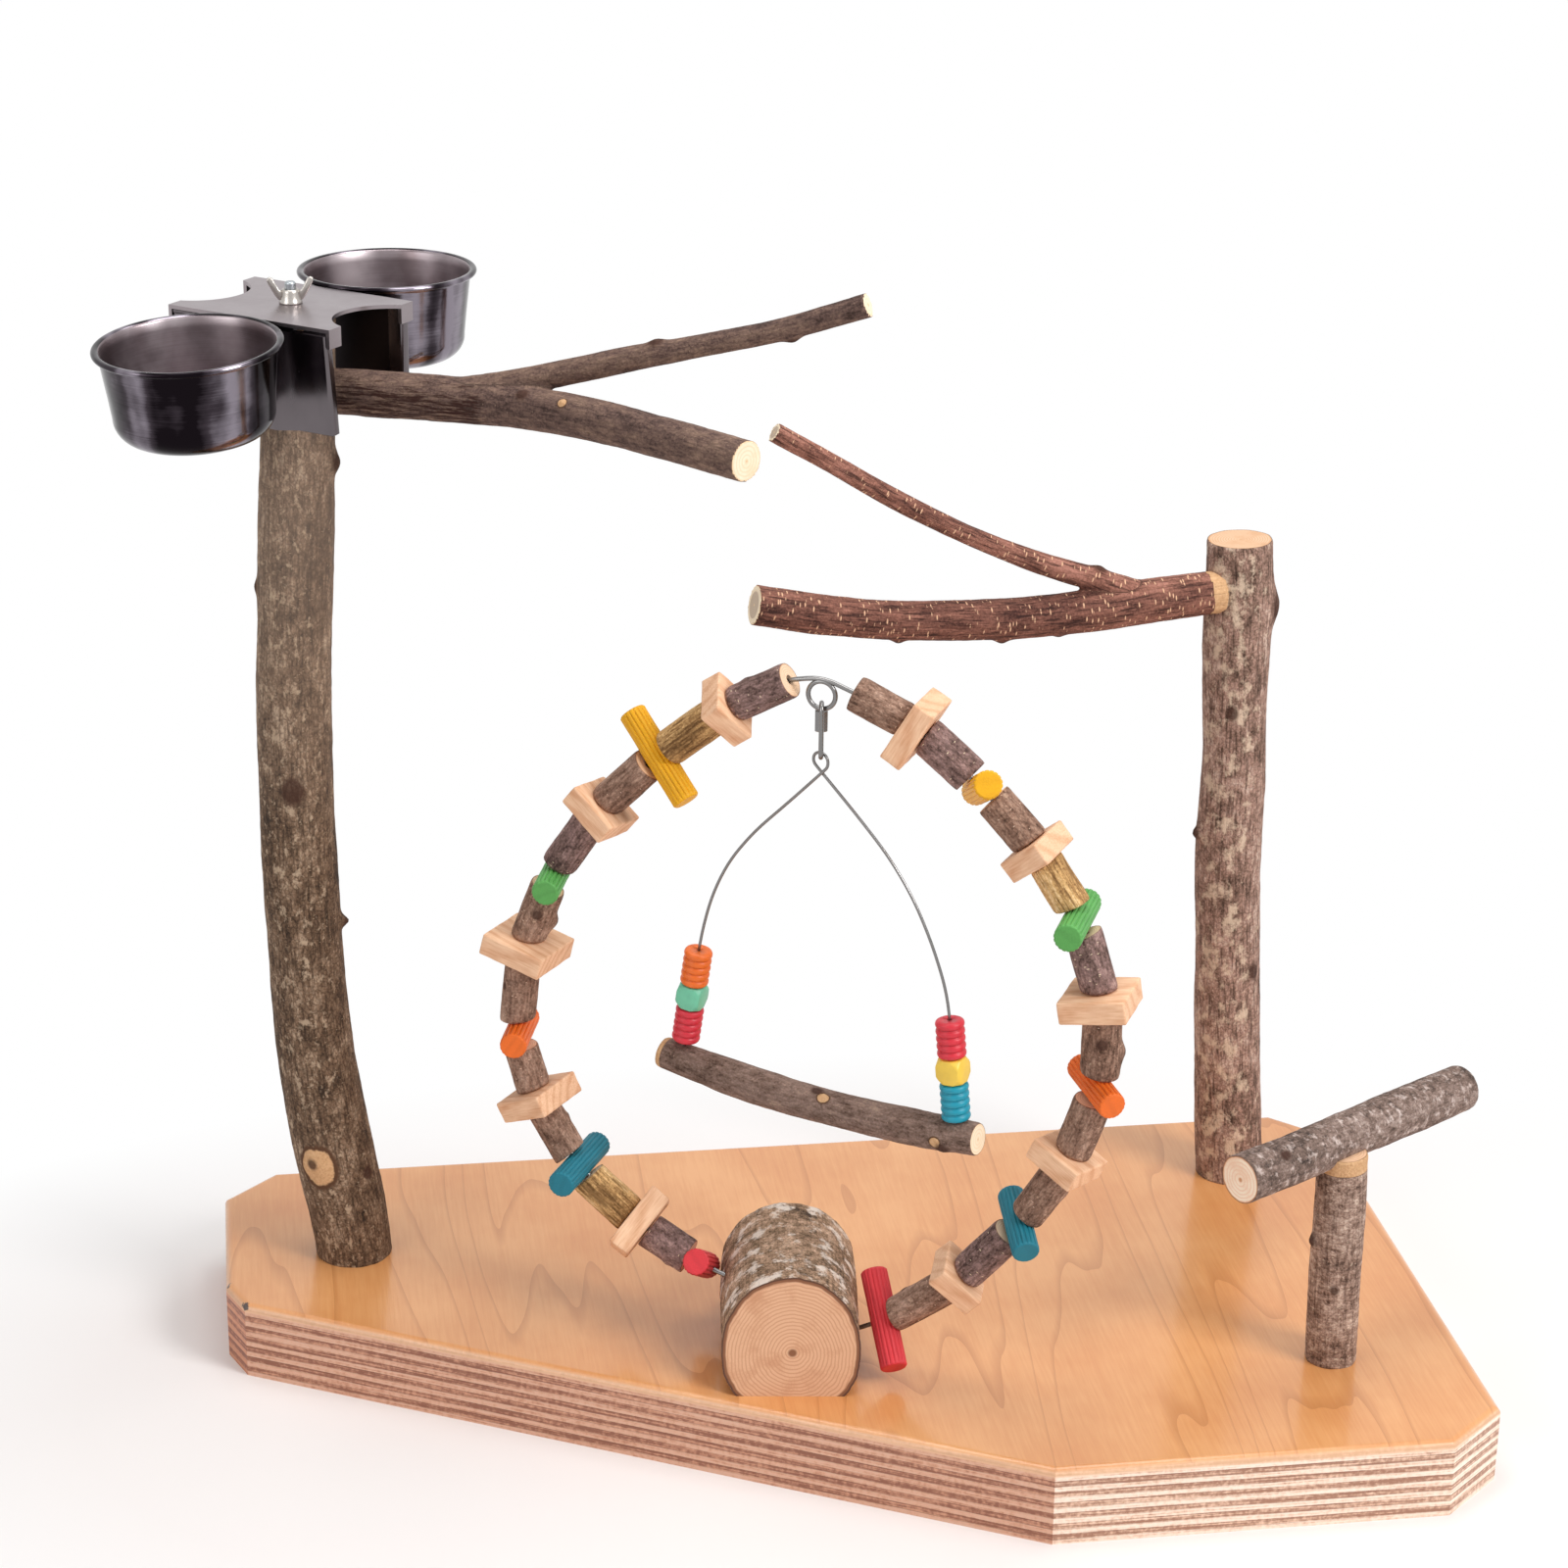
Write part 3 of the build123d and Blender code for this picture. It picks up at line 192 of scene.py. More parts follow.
def sawn(name, wood, ring, rim_wood, rim_bark, ring_mm=1.7, pith=(0.0, 0.0), pith_mm=1.4, heart=None):
    """Sawn end of a limb: pale pores, growth rings round the pith, bast and bark at the rim."""
    material, tree = new_tree(name)
    grain = add(tree, "Attribute", output=1, attribute_name="grain")
    edge = add(tree, "Attribute", output=2, attribute_name="rim")
    flat = add(tree, "VectorMath", {0: grain, 1: (pith[0] * MM, pith[1] * MM, 0.0)}, operation="SUBTRACT")
    flat = add(tree, "VectorMath", {0: flat, 1: (1.0, 1.0, 0.0)}, operation="MULTIPLY")
    radius = add(tree, "VectorMath", {0: flat}, output=1, operation="LENGTH")
    sway = add(tree, "TexNoise", {"Vector": grain, "Scale": per(14), "Detail": 2.0})
    turn = add(tree, "Math", {0: radius, 1: math.tau * per(ring_mm)}, operation="MULTIPLY")
    turn = add(tree, "Math", {0: sway, 1: 9.0, 2: turn}, operation="MULTIPLY_ADD")
    rings = add(tree, "Math", {0: turn}, operation="SINE")
    rings = add(tree, "MapRange", {"Value": rings, "From Min": 0.1, "From Max": 0.9, "To Max": 0.8})
    fibre = add(tree, "TexNoise", {"Vector": grain, "Scale": per(0.9), "Detail": 2.0})
    cloud = add(tree, "TexNoise", {"Vector": grain, "Scale": per(11), "Detail": 3.0})
    base = add(tree, "Math", {0: fibre, 1: 0.35, 2: cloud}, operation="MULTIPLY_ADD")
    colour = add(tree, "ValToRGB", {0: base}, stops=[(0.35, ring), (0.70, wood)])
    colour = add(tree, "Mix", {0: rings, 6: colour, 7: linear(ring)}, output=2, data_type="RGBA")
    if heart:
        # darker heartwood inside pale sapwood
        tinted, share = heart
        inside = add(tree, "MapRange", {"Value": edge, "From Min": share + 0.05, "From Max": share,
                                        "To Max": 0.8})
        colour = add(tree, "Mix", {0: inside, 6: colour, 7: linear(tinted)}, output=2, data_type="RGBA")
    core = add(tree, "MapRange", {"Value": radius, "From Min": 0.6 * pith_mm * MM,
                                  "From Max": 0.35 * pith_mm * MM})
    colour = add(tree, "Mix", {0: core, 6: colour, 7: linear(rim_wood)}, output=2, data_type="RGBA")
    bast = add(tree, "MapRange", {"Value": edge, "From Min": 0.93, "From Max": 0.95})
    colour = add(tree, "Mix", {0: bast, 6: colour, 7: linear(rim_wood)}, output=2, data_type="RGBA")
    skin = add(tree, "MapRange", {"Value": edge, "From Min": 0.97, "From Max": 0.985})
    colour = add(tree, "Mix", {0: skin, 6: colour, 7: linear(rim_bark)}, output=2, data_type="RGBA")
    finish_material(tree, colour, 0.68, fibre, 0.12, {"Specular IOR Level": 0.3})
    return material


PLY_MM, PLY_WAVER_MM = 3.15, 0.5
PALE_TOP_FROM, PALE_TOP_TO = 39.2, 40.2
# chips in the veneer at the left corner, as (x, y, radius)
CHIPS = ((-331.0, 58.0, 2.0), (-322.5, 34.5, 3.4))
# direction of the board's sides that get painted shade
SHADED_SIDE = (-0.93, -0.37, 0.0)


def birch_plywood(name):
    """Board of many plies: clear gloss varnish on a honey birch face, rough sanded edges."""
    material, tree = new_tree(name)
    place = add(tree, "TexCoord", output=3)
    side = add(tree, "SeparateXYZ", {0: place}, output=None)
    x, y, z = side.outputs[0], side.outputs[1], side.outputs[2]
    facing = add(tree, "SeparateXYZ", {0: add(tree, "NewGeometry", output=1)}, output=2)
    # face veneer: grain along Y, cathedral lines from a slowly bent height field
    swirl = add(tree, "VectorMath", {0: place, 1: (1.0, 0.13, 0.0)}, operation="MULTIPLY")
    bend = add(tree, "TexNoise", {"Vector": swirl, "Scale": per(150), "Detail": 2.0, "Roughness": 0.45})
    wander = add(tree, "TexNoise", {"Vector": swirl, "Scale": per(38), "Detail": 2.0})
    field = add(tree, "Math", {0: bend, 1: 15.0, 2: add(tree, "Math", {0: x, 1: 21.0},
                                                        operation="MULTIPLY")}, operation="MULTIPLY_ADD")
    field = add(tree, "Math", {0: wander, 1: 0.9, 2: field}, operation="MULTIPLY_ADD")
    line = add(tree, "Math", {0: field}, operation="FRACT")
    line = add(tree, "MapRange", {"Value": line, "From Min": 0.86, "From Max": 0.99, "To Max": 0.5})
    fine = add(tree, "VectorMath", {0: place, 1: (1.0, 0.045, 1.0)}, operation="MULTIPLY")
    fibre = add(tree, "TexNoise", {"Vector": fine, "Scale": per(1.5), "Detail": 5.0, "Roughness": 0.6})
    figure = add(tree, "TexNoise", {"Vector": place, "Scale": per(60), "Detail": 3.0})
    base = add(tree, "Math", {0: fibre, 1: 0.6, 2: figure}, operation="MULTIPLY_ADD")
    face = add(tree, "ValToRGB", {0: base},
               stops=[(0.45, "CF874E"), (0.75, "D8955B"), (1.0, "E0A168")])
    face = add(tree, "Mix", {0: line, 6: face, 7: linear("B47038")}, output=2, data_type="RGBA")
    # fourteen plies with thin glue lines that waver, dark where the end grain soaked up dirt
    waver = add(tree, "TexNoise", {"Vector": add(tree, "VectorMath", {0: place, 1: (1.0, 1.0, 0.1)},
                                                 operation="MULTIPLY"), "Scale": per(60), "Detail": 2.0})
    level = add(tree, "Math", {0: waver, 1: PLY_WAVER_MM * MM, 2: z}, operation="MULTIPLY_ADD")
    plies = add(tree, "Math", {0: level, 1: per(PLY_MM)}, operation="MULTIPLY")
    ply = add(tree, "Math", {0: plies}, operation="FRACT")
    glue = add(tree, "MapRange", {"Value": add(tree, "Math", {0: ply, 1: 0.5}, operation="SUBTRACT"),
                                  "From Min": 0.30, "From Max": 0.48})
    odd = add(tree, "Math", {0: add(tree, "Math", {0: plies, 1: 0.5}, operation="MULTIPLY")},
              operation="FRACT")
    odd = add(tree, "MapRange", {"Value": odd, "From Min": 0.48, "From Max": 0.52})
    drawn = add(tree, "VectorMath", {0: place, 1: (0.02, 0.02, 1.0)}, operation="MULTIPLY")
    streaks = add(tree, "TexNoise", {"Vector": drawn, "Scale": per(1.2), "Detail": 5.0, "Roughness": 0.7})
    saw = add(tree, "TexNoise", {"Vector": place, "Scale": per(2.5), "Detail": 4.0})
    shade = add(tree, "Math", {0: streaks, 1: 1.0, 2: add(tree, "Math", {0: saw, 1: 0.5},
                                                         operation="MULTIPLY")}, operation="MULTIPLY_ADD")
    shade = add(tree, "Math", {0: odd, 1: -0.24, 2: shade}, operation="MULTIPLY_ADD")
    edge = add(tree, "ValToRGB", {0: add(tree, "MapRange", {"Value": shade, "From Min": 0.46,
                                                            "From Max": 0.98})},
               stops=[(0.0, "A3745C"), (0.3, "E6BEA3"), (0.6, "FFE6D2"), (1.0, "FFEFE0")])
    dark = add(tree, "MapRange", {"Value": streaks, "From Min": 0.40, "From Max": 0.60,
                                  "To Min": 0.85, "To Max": 0.25})
    dark = add(tree, "Math", {0: glue, 1: dark}, operation="MULTIPLY")
    edge = add(tree, "Mix", {0: dark, 6: edge, 7: linear("7A4B36")}, output=2, data_type="RGBA")
    # painted shade: the sides that face left are darkened as if in the shade of a light from the right
    painted_side_shade = add(tree, "VectorMath", {0: add(tree, "NewGeometry", output=1), 1: SHADED_SIDE},
                output=1, operation="DOT_PRODUCT")
    painted_side_shade = add(tree, "MapRange", {"Value": painted_side_shade, "From Min": 0.35, "From Max": 0.95})
    edge = add(tree, "Mix", {0: painted_side_shade, 6: edge, 7: linear("D09A7A")}, output=2, data_type="RGBA",
               blend_type="MULTIPLY")
    # bare tops of the sides are paler: the veneer is seen edge-on there
    upper = add(tree, "MapRange", {"Value": z, "From Min": PALE_TOP_FROM * MM,
                                   "From Max": PALE_TOP_TO * MM, "To Max": 0.7})
    edge = add(tree, "Mix", {0: upper, 6: edge, 7: linear("E8B88F")}, output=2, data_type="RGBA")
    on_top = add(tree, "MapRange", {"Value": facing, "From Min": 0.55, "From Max": 0.85})
    colour = add(tree, "Mix", {0: on_top, 6: edge, 7: face}, output=2, data_type="RGBA")
    # dark where the face veneer broke off
    for chip_x, chip_y, size in CHIPS:
        far = add(tree, "VectorMath", {0: place, 1: Vector((chip_x, chip_y, BOARD_TOP - 0.5)) * MM}, output=1,
                  operation="DISTANCE")
        far = add(tree, "Math", {0: saw, 1: 5.0 * MM, 2: far}, operation="MULTIPLY_ADD")
        chip = add(tree, "MapRange", {"Value": far, "From Min": (size + 2.6) * MM,
                                      "From Max": (size + 1.9) * MM})
        colour = add(tree, "Mix", {0: chip, 6: colour, 7: linear("3B2417")}, output=2, data_type="RGBA")
    rough = add(tree, "MapRange", {"Value": on_top, "To Min": 0.62, "To Max": 0.28})
    relief = add(tree, "Mix", {0: on_top, 6: shade, 7: fibre}, output=2, data_type="RGBA")
    coat = {"Coat Weight": 0.5, "Coat Roughness": 0.12, "Coat IOR": 1.5}
    finish_material(tree, colour, rough, relief, 0.12, coat)
    return material


def toy_wood(name, pale, deep, dye=None):
    """Sanded softwood and beech of the toys: straight fibre, faint rings, dye where one is given."""
    material, tree = new_tree(name)
    grain = add(tree, "Attribute", output=1, attribute_name="grain")
    off = add(tree, "VectorMath", {0: grain, 1: (0.0, 0.026, 0.020)}, operation="ADD")
    off = add(tree, "VectorMath", {0: off, 1: (0.04, 1.0, 1.0)}, operation="MULTIPLY")
    radius = add(tree, "VectorMath", {0: off}, output=1, operation="LENGTH")
    sway = add(tree, "TexNoise", {"Vector": off, "Scale": per(18), "Detail": 2.0})
    turn = add(tree, "Math", {0: radius, 1: math.tau * per(1.5)}, operation="MULTIPLY")
    turn = add(tree, "Math", {0: sway, 1: 6.0, 2: turn}, operation="MULTIPLY_ADD")
    rings = add(tree, "Math", {0: turn}, operation="SINE")
    rings = add(tree, "MapRange", {"Value": rings, "From Min": -0.2, "From Max": 1.0})
    long_grain = add(tree, "VectorMath", {0: grain, 1: (0.08, 1.0, 1.0)}, operation="MULTIPLY")
    fibre = add(tree, "TexNoise", {"Vector": long_grain, "Scale": per(0.8), "Detail": 4.0})
    cloud = add(tree, "TexNoise", {"Vector": grain, "Scale": per(9), "Detail": 3.0})
    tone = add(tree, "Math", {0: fibre, 1: 0.7, 2: add(tree, "Math", {0: rings, 1: 0.20},
                                                       operation="MULTIPLY")}, operation="MULTIPLY_ADD")
    tone = add(tree, "Math", {0: cloud, 1: 0.35, 2: tone}, operation="MULTIPLY_ADD")
    colour = add(tree, "ValToRGB", {0: tone}, stops=[(0.40, pale), (0.95, deep)])
    roughness = 0.62
    if dye:
        roughness = 0.5
        thin = add(tree, "MapRange", {"Value": tone, "From Min": 0.3, "From Max": 0.9,
                                      "To Min": 1.0, "To Max": 0.78})
        colour = add(tree, "Mix", {0: 1.0, 6: linear(dye), 7: thin}, output=2, data_type="RGBA",
                     blend_type="MULTIPLY")
    finish_material(tree, colour, roughness, fibre, 0.10, {"Specular IOR Level": 0.35})
    return material


def lacquered_bead(name, code):
    """Turned wooden bead under coloured lacquer: soft gloss, slightly uneven film."""
    material, tree = new_tree(name)
    place = add(tree, "TexCoord", output=3)
    film = add(tree, "TexNoise", {"Vector": place, "Scale": per(5), "Detail": 3.0})
    fade = add(tree, "MapRange", {"Value": film, "From Min": 0.3, "From Max": 0.7, "To Min": 0.88})
    colour = add(tree, "Mix", {0: 1.0, 6: linear(code), 7: fade}, output=2, data_type="RGBA",
                 blend_type="MULTIPLY")
    rough = add(tree, "MapRange", {"Value": film, "To Min": 0.32, "To Max": 0.48})
    finish_material(tree, colour, rough, film, 0.06)
    return material


def steel(name, code, rough_low, rough_high, smear=(1.0, 1.0, 1.0), scratch_mm=1.0):
    """Stainless steel: smear drags the fine scratches of rolling, drawing or spinning one way."""
    material, tree = new_tree(name)
    place = add(tree, "TexCoord", output=3)
    drag = add(tree, "VectorMath", {0: place, 1: smear}, operation="MULTIPLY")
    scratch = add(tree, "TexNoise", {"Vector": drag, "Scale": per(scratch_mm), "Detail": 4.0,
                                     "Roughness": 0.6})
    smudge = add(tree, "TexNoise", {"Vector": place, "Scale": per(22), "Detail": 4.0})
    mark = add(tree, "Math", {0: smudge, 1: 0.7, 2: add(tree, "Math", {0: scratch, 1: 0.5},
                                                        operation="MULTIPLY")}, operation="MULTIPLY_ADD")
    rough = add(tree, "MapRange", {"Value": mark, "From Min": 0.35, "From Max": 0.85,
                                   "To Min": rough_low, "To Max": rough_high})
    shade = add(tree, "MapRange", {"Value": mark, "From Min": 0.35, "From Max": 0.85, "To Min": 1.0,
                                   "To Max": 0.88})
    colour = add(tree, "Mix", {0: 1.0, 6: linear(code), 7: shade}, output=2, data_type="RGBA",
                 blend_type="MULTIPLY")
    finish_material(tree, colour, rough, scratch, 0.01, {"Metallic": 1.0})
    return material


def spun_steel(name, dark, middle, light, sheen, band_scale):
    """Spun and polished stainless bowl: painted reflections as broad soft light and dark bands down the wall,
    fine spun rings round it.
    """
    material, tree = new_tree(name)
    place = add(tree, "Attribute", output=1, attribute_name="spun")
    level = add(tree, "VectorMath", {0: place, 1: (1.0, 1.0, 0.0)}, operation="MULTIPLY")
    heading = add(tree, "VectorMath", {0: level}, operation="NORMALIZE")
    # band_scale is the number of painted reflection bands to one radian round the wall
    reflection_bands = add(tree, "TexNoise", {"Vector": heading, "Scale": band_scale, "Detail": 2.0})
    rings = add(tree, "VectorMath", {0: place, 1: (0.02, 0.02, 1.0)}, operation="MULTIPLY")
    rings = add(tree, "TexNoise", {"Vector": rings, "Scale": per(0.7), "Detail": 3.0})
    smudge = add(tree, "TexNoise", {"Vector": place, "Scale": per(20), "Detail": 4.0})
    tone = add(tree, "Math", {0: smudge, 1: 0.35, 2: reflection_bands}, operation="MULTIPLY_ADD")
    tone = add(tree, "Math", {0: rings, 1: 0.10, 2: tone}, operation="MULTIPLY_ADD")
    # dark, middle and light are the tones of the painted reflections
    colour = add(tree, "ValToRGB", {0: tone}, stops=[(0.63, dark), (0.72, middle), (0.86, light)])
    rough = add(tree, "MapRange", {"Value": smudge, "From Min": 0.3, "From Max": 0.7, "To Min": sheen,
                                   "To Max": sheen + 0.08})
    finish_material(tree, colour, rough, rings, 0.006, {"Metallic": 1.0})
    return material


# honey face under clear gloss, pale and dark lines down the rough edges
PLYWOOD = birch_plywood("birch_plywood_varnished")
# grey-brown with a fine fabric-like net, paler towards its top
POST_BARK = bark("hazel_bark_grey_brown", ("33251B", "644D3B", "846A55", "B49B83"), streak=1.8, net=0.45,
                 patch=("BCA48B", 0.28, 4.5, 1.4, 0.10, (-3.0, 1.0, 0.0)), pores=("B1987D", 0.11),
                 ridges=("32251C", 0.40), paling=("5E5249", 1.26, 1.44))
# pale lichen on the side that faces the front left
TALL_BARK = bark("hazel_bark_lichen_spotted", ("443229", "86695B", "AD8A7B", "D2B7A7"), streak=1.6, net=0.34,
                 patch=("DCC4AC", 0.24, 7.0, 1.3, 0.13, (-7.0, 2.0, 0.0)), ridges=("3B2A22", 0.55))
# brown-grey, cracked round the stem
SHORT_BARK = bark("hazel_bark_ridged", ("4A3831", "8D7264", "B69B8C", "DEC8B7"), streak=0.5, net=0.30,
                  patch=("DED0BE", 0.22, 7.0, 0.6, 0.12, (0.0, 0.0, 0.0)), pores=("DBC7AE", 0.12),
                  ridges=("533F36", 0.35))
# smooth, with dark reddish tears near its thick end
FORK_BARK = bark("hazel_bark_smooth", ("3B2A24", "624C45", "7A6155", "947967"), streak=2.6, mottle_mm=4.0,
                 net=0.26, pores=("9C826E", 0.09), crack="341912")
# red-brown, furrowed lengthwise and dashed with pale pores
CHERRY_BARK = bark("cherry_bark_red_brown", ("391F1A", "70483D", "8E5F50", "B27C6C"), streak=4.0, net=0.18,
                   pores=("E3B593", 0.26), ridges=("331C17", 0.75), crack="47211B")
# brown-grey under whitish blotches
PERCH_BARK = bark("hazel_bark_mottled", ("3B2F2B", "68564D", "887268", "AA968C"), streak=1.2, mottle_mm=4.5,
                  net=0.25, patch=("DBC9C1", 0.50, 6.0, 0.7, 0.16, (0.0, 0.0, 0.0)))
# even grey-brown, worn smooth
SWING_BARK = bark("hazel_bark_worn", ("4E3A30", "796155", "8E756A", "A88D7B"), streak=2.2, mottle_mm=3.5,
                  net=0.18, pores=("BC9D89", 0.08))
# cracked grey-brown with white papery blotches
LOG_BARK = bark("birch_bark_old", ("403027", "8A6E56", "B7957A", "E2BEA3"), streak=0.8, net=0.35,
                patch=("F4E6DA", 0.52, 11.0, 0.8, 0.10, (0.0, 0.0, 0.0)))
# warm brown twig skin with pale pores
TWIG_BARK = bark("hazel_twig_bark", ("483326", "816151", "A1806D", "C3A08D"), streak=2.2, mottle_mm=4.0,
                 net=0.28, patch=("D5B59C", 0.18, 7.0, 1.2, 0.10, (0.0, 0.0, 0.0)), pores=("FDDBC1", 0.10))
# the same a little purple
PLUM_TWIG = bark("hazel_twig_bark_plum", ("45312F", "7B615A", "9B7C77", "C1A197"), streak=1.8, mottle_mm=3.5,
                 net=0.28, pores=("FFE9C5", 0.12))
# bark rubbed off: yellow wood with brown remains drawn lengthwise
BARE_TWIG = bark("hazel_twig_stripped", ("6C4C29", "A47B4D", "D9AD73", "FBD8A6"), streak=6.0, net=0.20,
                 patch=("7F5C38", 0.36, 6.0, 5.0, 0.08, (0.0, 0.0, 0.0)), ridges=("624223", 0.6))
# cream, almost without rings
PALE_END = sawn("hazel_end_fresh", "F6E3C8", "EBD0AC", "DDBB90", "6B5242", ring_mm=2.0)
# cream sapwood round a greyish heart
HEART_END = sawn("cherry_end_heartwood", "F8E7CC", "EFD9B8", "EBCFA4", "5E4338", ring_mm=1.8,
                 heart=("B7A28E", 0.66))
# pink cream with clear wide rings
RING_END = sawn("hazel_end_ringed", "FFEED8", "F4CFB1", "CC9770", "87644F", ring_mm=2.2, pith_mm=2.4)
# tanned by the air
TAN_END = sawn("hazel_end_tanned", "E0B998", "CD9F78", "D0A078", "5D483C", ring_mm=1.5)
# tan with close rings and a dark pith
LOG_END = sawn("birch_end_ringed", "D9AA88", "C38D6A", "85573D", "57392C", ring_mm=1.9, pith=(-0.1, 3.1),
               pith_mm=4.2)
# small tan rounds inside a brown edge
TWIG_END = sawn("hazel_twig_end", "EBCDB0", "D9B08A", "C39270", "6B5242", ring_mm=1.2)
# pale, matt and even
BLOCK_WOOD = toy_wood("beech_block_sanded", "F1C6A2", "CC8F66")
# clear food colours that let the fibre show through
DYES = {"yellow": "F0AE0C", "green": "5CA553", "orange": "EE6F22", "teal": "18798C", "red": "DE3A42"}
DYED = {key: toy_wood("beech_dowel_" + key, "E9C79F", "C08D5F", dye=code) for key, code in DYES.items()}
# opaque and softly glossy
LACQUERS = {"orange": "EF6F1C", "mint": "73C9A4", "red": "D82B3C", "yellow": "F7CF4E", "blue": "0894AC"}
LACQUER = {key: lacquered_bead("lacquer_" + key, code) for key, code in LACQUERS.items()}
# bright grey with a hard thin highlight
WIRE_STEEL = steel("stainless_wire_drawn", "8A8887", 0.20, 0.32)
# dark mirror with painted reflections: dark and light bands running down it
BOWL_STEEL = spun_steel("stainless_bowl_polished", "181317", "3E373D", "8C848E", 0.10, 1.7)
# softer than the outside, and painted paler as if lit, with its own painted reflection bands
BOWL_INSIDE = spun_steel("stainless_bowl_brushed", "7A6D6F", "8D8285", "ADA2A5", 0.30, 0.9)
# upright soft streaks left by the press
HOOK_STEEL = steel("stainless_hook_pressed", "6E676A", 0.16, 0.30, smear=(1.0, 1.0, 0.08), scratch_mm=4.0)
# silvery, with fine scratches one way
ROLLED = (0.15, 1.0, 1.0)
PLATE_STEEL = steel("stainless_sheet_rolled", "9D9396", 0.24, 0.40, smear=ROLLED, scratch_mm=0.8)
# the same sheet, dark because it is in shade
FLANGE_STEEL = steel("stainless_sheet_painted_shade", "3A3436", 0.28, 0.42, smear=ROLLED, scratch_mm=0.8)
# light grey and a little grainy
NUT_STEEL = steel("stainless_cast_nut", "B8B2AC", 0.22, 0.34)
# bluish white
ZINC = steel("zinc_plated_screw", "AEB4B8", 0.24, 0.38)


# ---------------------------------------------------------------- limbs
# direction that no limb of the stand runs along, from which a limb's cross directions start
SIDE_START = np.array([0.31, 0.95, 0.05])


class Run:
    """Centre line of a limb: a smooth curve through (x, y, z, radius) stations in millimetres."""

    def __init__(self, stations, steps=24):
        knots = [np.array(s, dtype=float) * MM for s in stations]
        knots = [2 * knots[0] - knots[1]] + knots + [2 * knots[-1] - knots[-2]]
        dense = []
        for a, b, c, d in zip(knots, knots[1:], knots[2:], knots[3:]):
            for i in range(steps):
                t = i / steps
                dense.append(0.5 * (2 * b + (c - a) * t + (2 * a - 5 * b + 4 * c - d) * t ** 2
                                    + (3 * b - a - 3 * c + d) * t ** 3))
        dense.append(knots[-2])
        dense = np.array(dense)
        self.points, self.radii = dense[:, :3], dense[:, 3]
        gaps = np.linalg.norm(np.diff(self.points, axis=0), axis=1)
        self.reach = np.concatenate([[0.0], np.cumsum(gaps)])
        self.length = float(self.reach[-1])
        tangents = np.gradient(self.points, axis=0)
        self.tangents = tangents / np.linalg.norm(tangents, axis=1)[:, None]
        side = SIDE_START
        sides = []
        for tangent in self.tangents:
            side = side - tangent * side.dot(tangent)
            side = side / np.linalg.norm(side)
            sides.append(side)
        self.sides = np.array(sides)
        self.thirds = np.cross(self.tangents, self.sides)

    def at(self, length):
        """Point, two cross directions, run direction and radius at a length along the limb."""
        length = min(max(length, 0.0), self.length)
        i = int(np.searchsorted(self.reach, length, side="right")) - 1
        i = min(max(i, 0), len(self.reach) - 2)
        t = (length - self.reach[i]) / max(self.reach[i + 1] - self.reach[i], 1e-9)
        row = [a[i] * (1 - t) + a[i + 1] * t for a in (self.points, self.sides, self.thirds, self.tangents)]
        return row + [self.radii[i] * (1 - t) + self.radii[i + 1] * t]

    def locate(self, points):
        """Length along the limb, x and y from the axis, and limb radius, for an array of points."""
        gaps = ((points[:, None, :] - self.points[None, :, :]) ** 2).sum(axis=2)
        near = gaps.argmin(axis=1)
        away = points - self.points[near]
        slip = (away * self.tangents[near]).sum(axis=1)
        x = (away * self.sides[near]).sum(axis=1)
        y = (away * self.thirds[near]).sum(axis=1)
        return self.reach[near] + slip, x, y, self.radii[near]


def swell(grain, radius, seed, coarse, middle, fine):
    """Bark relief in metres at a place given in the limb's own straightened coordinates."""
    g = (Vector(grain) + Vector((0.0, 0.0, seed))) / MM
    relief = 0.0
    for height, (across, along) in zip((coarse, middle, fine), (LUMPS, RIPPLES, THREADS)):
        relief += height * noise.noise(Vector((g.x / across, g.y / across, g.z / along)))
    # thin twigs have finer bark
    return MM * relief * min(1.0, radius / (9 * MM))


def turned_from(angle, start):
    """Signed angle from start to angle, within half a turn."""
    return (angle - start + math.pi) % math.tau - math.pi


def knot_marks(run, knots):
    """Each (x, y, z, size, rise, kind) knot as (length, angle, size, rise, kind) on its limb."""
    marks = []
    for x, y, z, size, rise, kind in knots:
        length, along_x, along_y, _ = (float(v[0]) for v in run.locate(np.array([[x, y, z]]) * MM))
        marks.append((length, math.atan2(along_y, along_x), size * MM, rise * MM, kind))
    return marks


def knot_effect(marks, length, angle, radius):
    """Rise of the surface, and how much of a bud and of a scar lies at this place."""
    rise, bud, scar = 0.0, 0.0, 0.0
    for at, turn, size, height, kind in marks:
        around = turned_from(angle, turn) * radius
        spot = ((length - at) / size) ** 2 + (around / (size * 0.8)) ** 2
        if spot > 9.0:
            continue
        share = math.exp(-spot * 1.3)
        rise += height * share
        if kind == "bud":
            bud = max(bud, share)
        else:
            scar = max(scar, share)
    return rise, bud, scar


def dress(name, bm, materials, body="stand", nodes=(), sawn_faces=True):
    """Turn a bmesh into a piece that rides on a body and stands for its CAD nodes.

    With sawn_faces, the faces of the second material are flat and the rest is shaded smooth."""
    bmesh.ops.recalc_face_normals(bm, faces=bm.faces)
    mesh = bpy.data.meshes.new(name)
    bm.to_mesh(mesh)
    bm.free()
    for material in materials:
        mesh.materials.append(material)
    for polygon in mesh.polygons:
        polygon.use_smooth = polygon.material_index == 0 or not sawn_faces
    piece = bpy.data.objects.new(name, mesh)
    bpy.context.scene.collection.objects.link(piece)
    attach(piece, body)
    if nodes:
        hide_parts(*nodes)


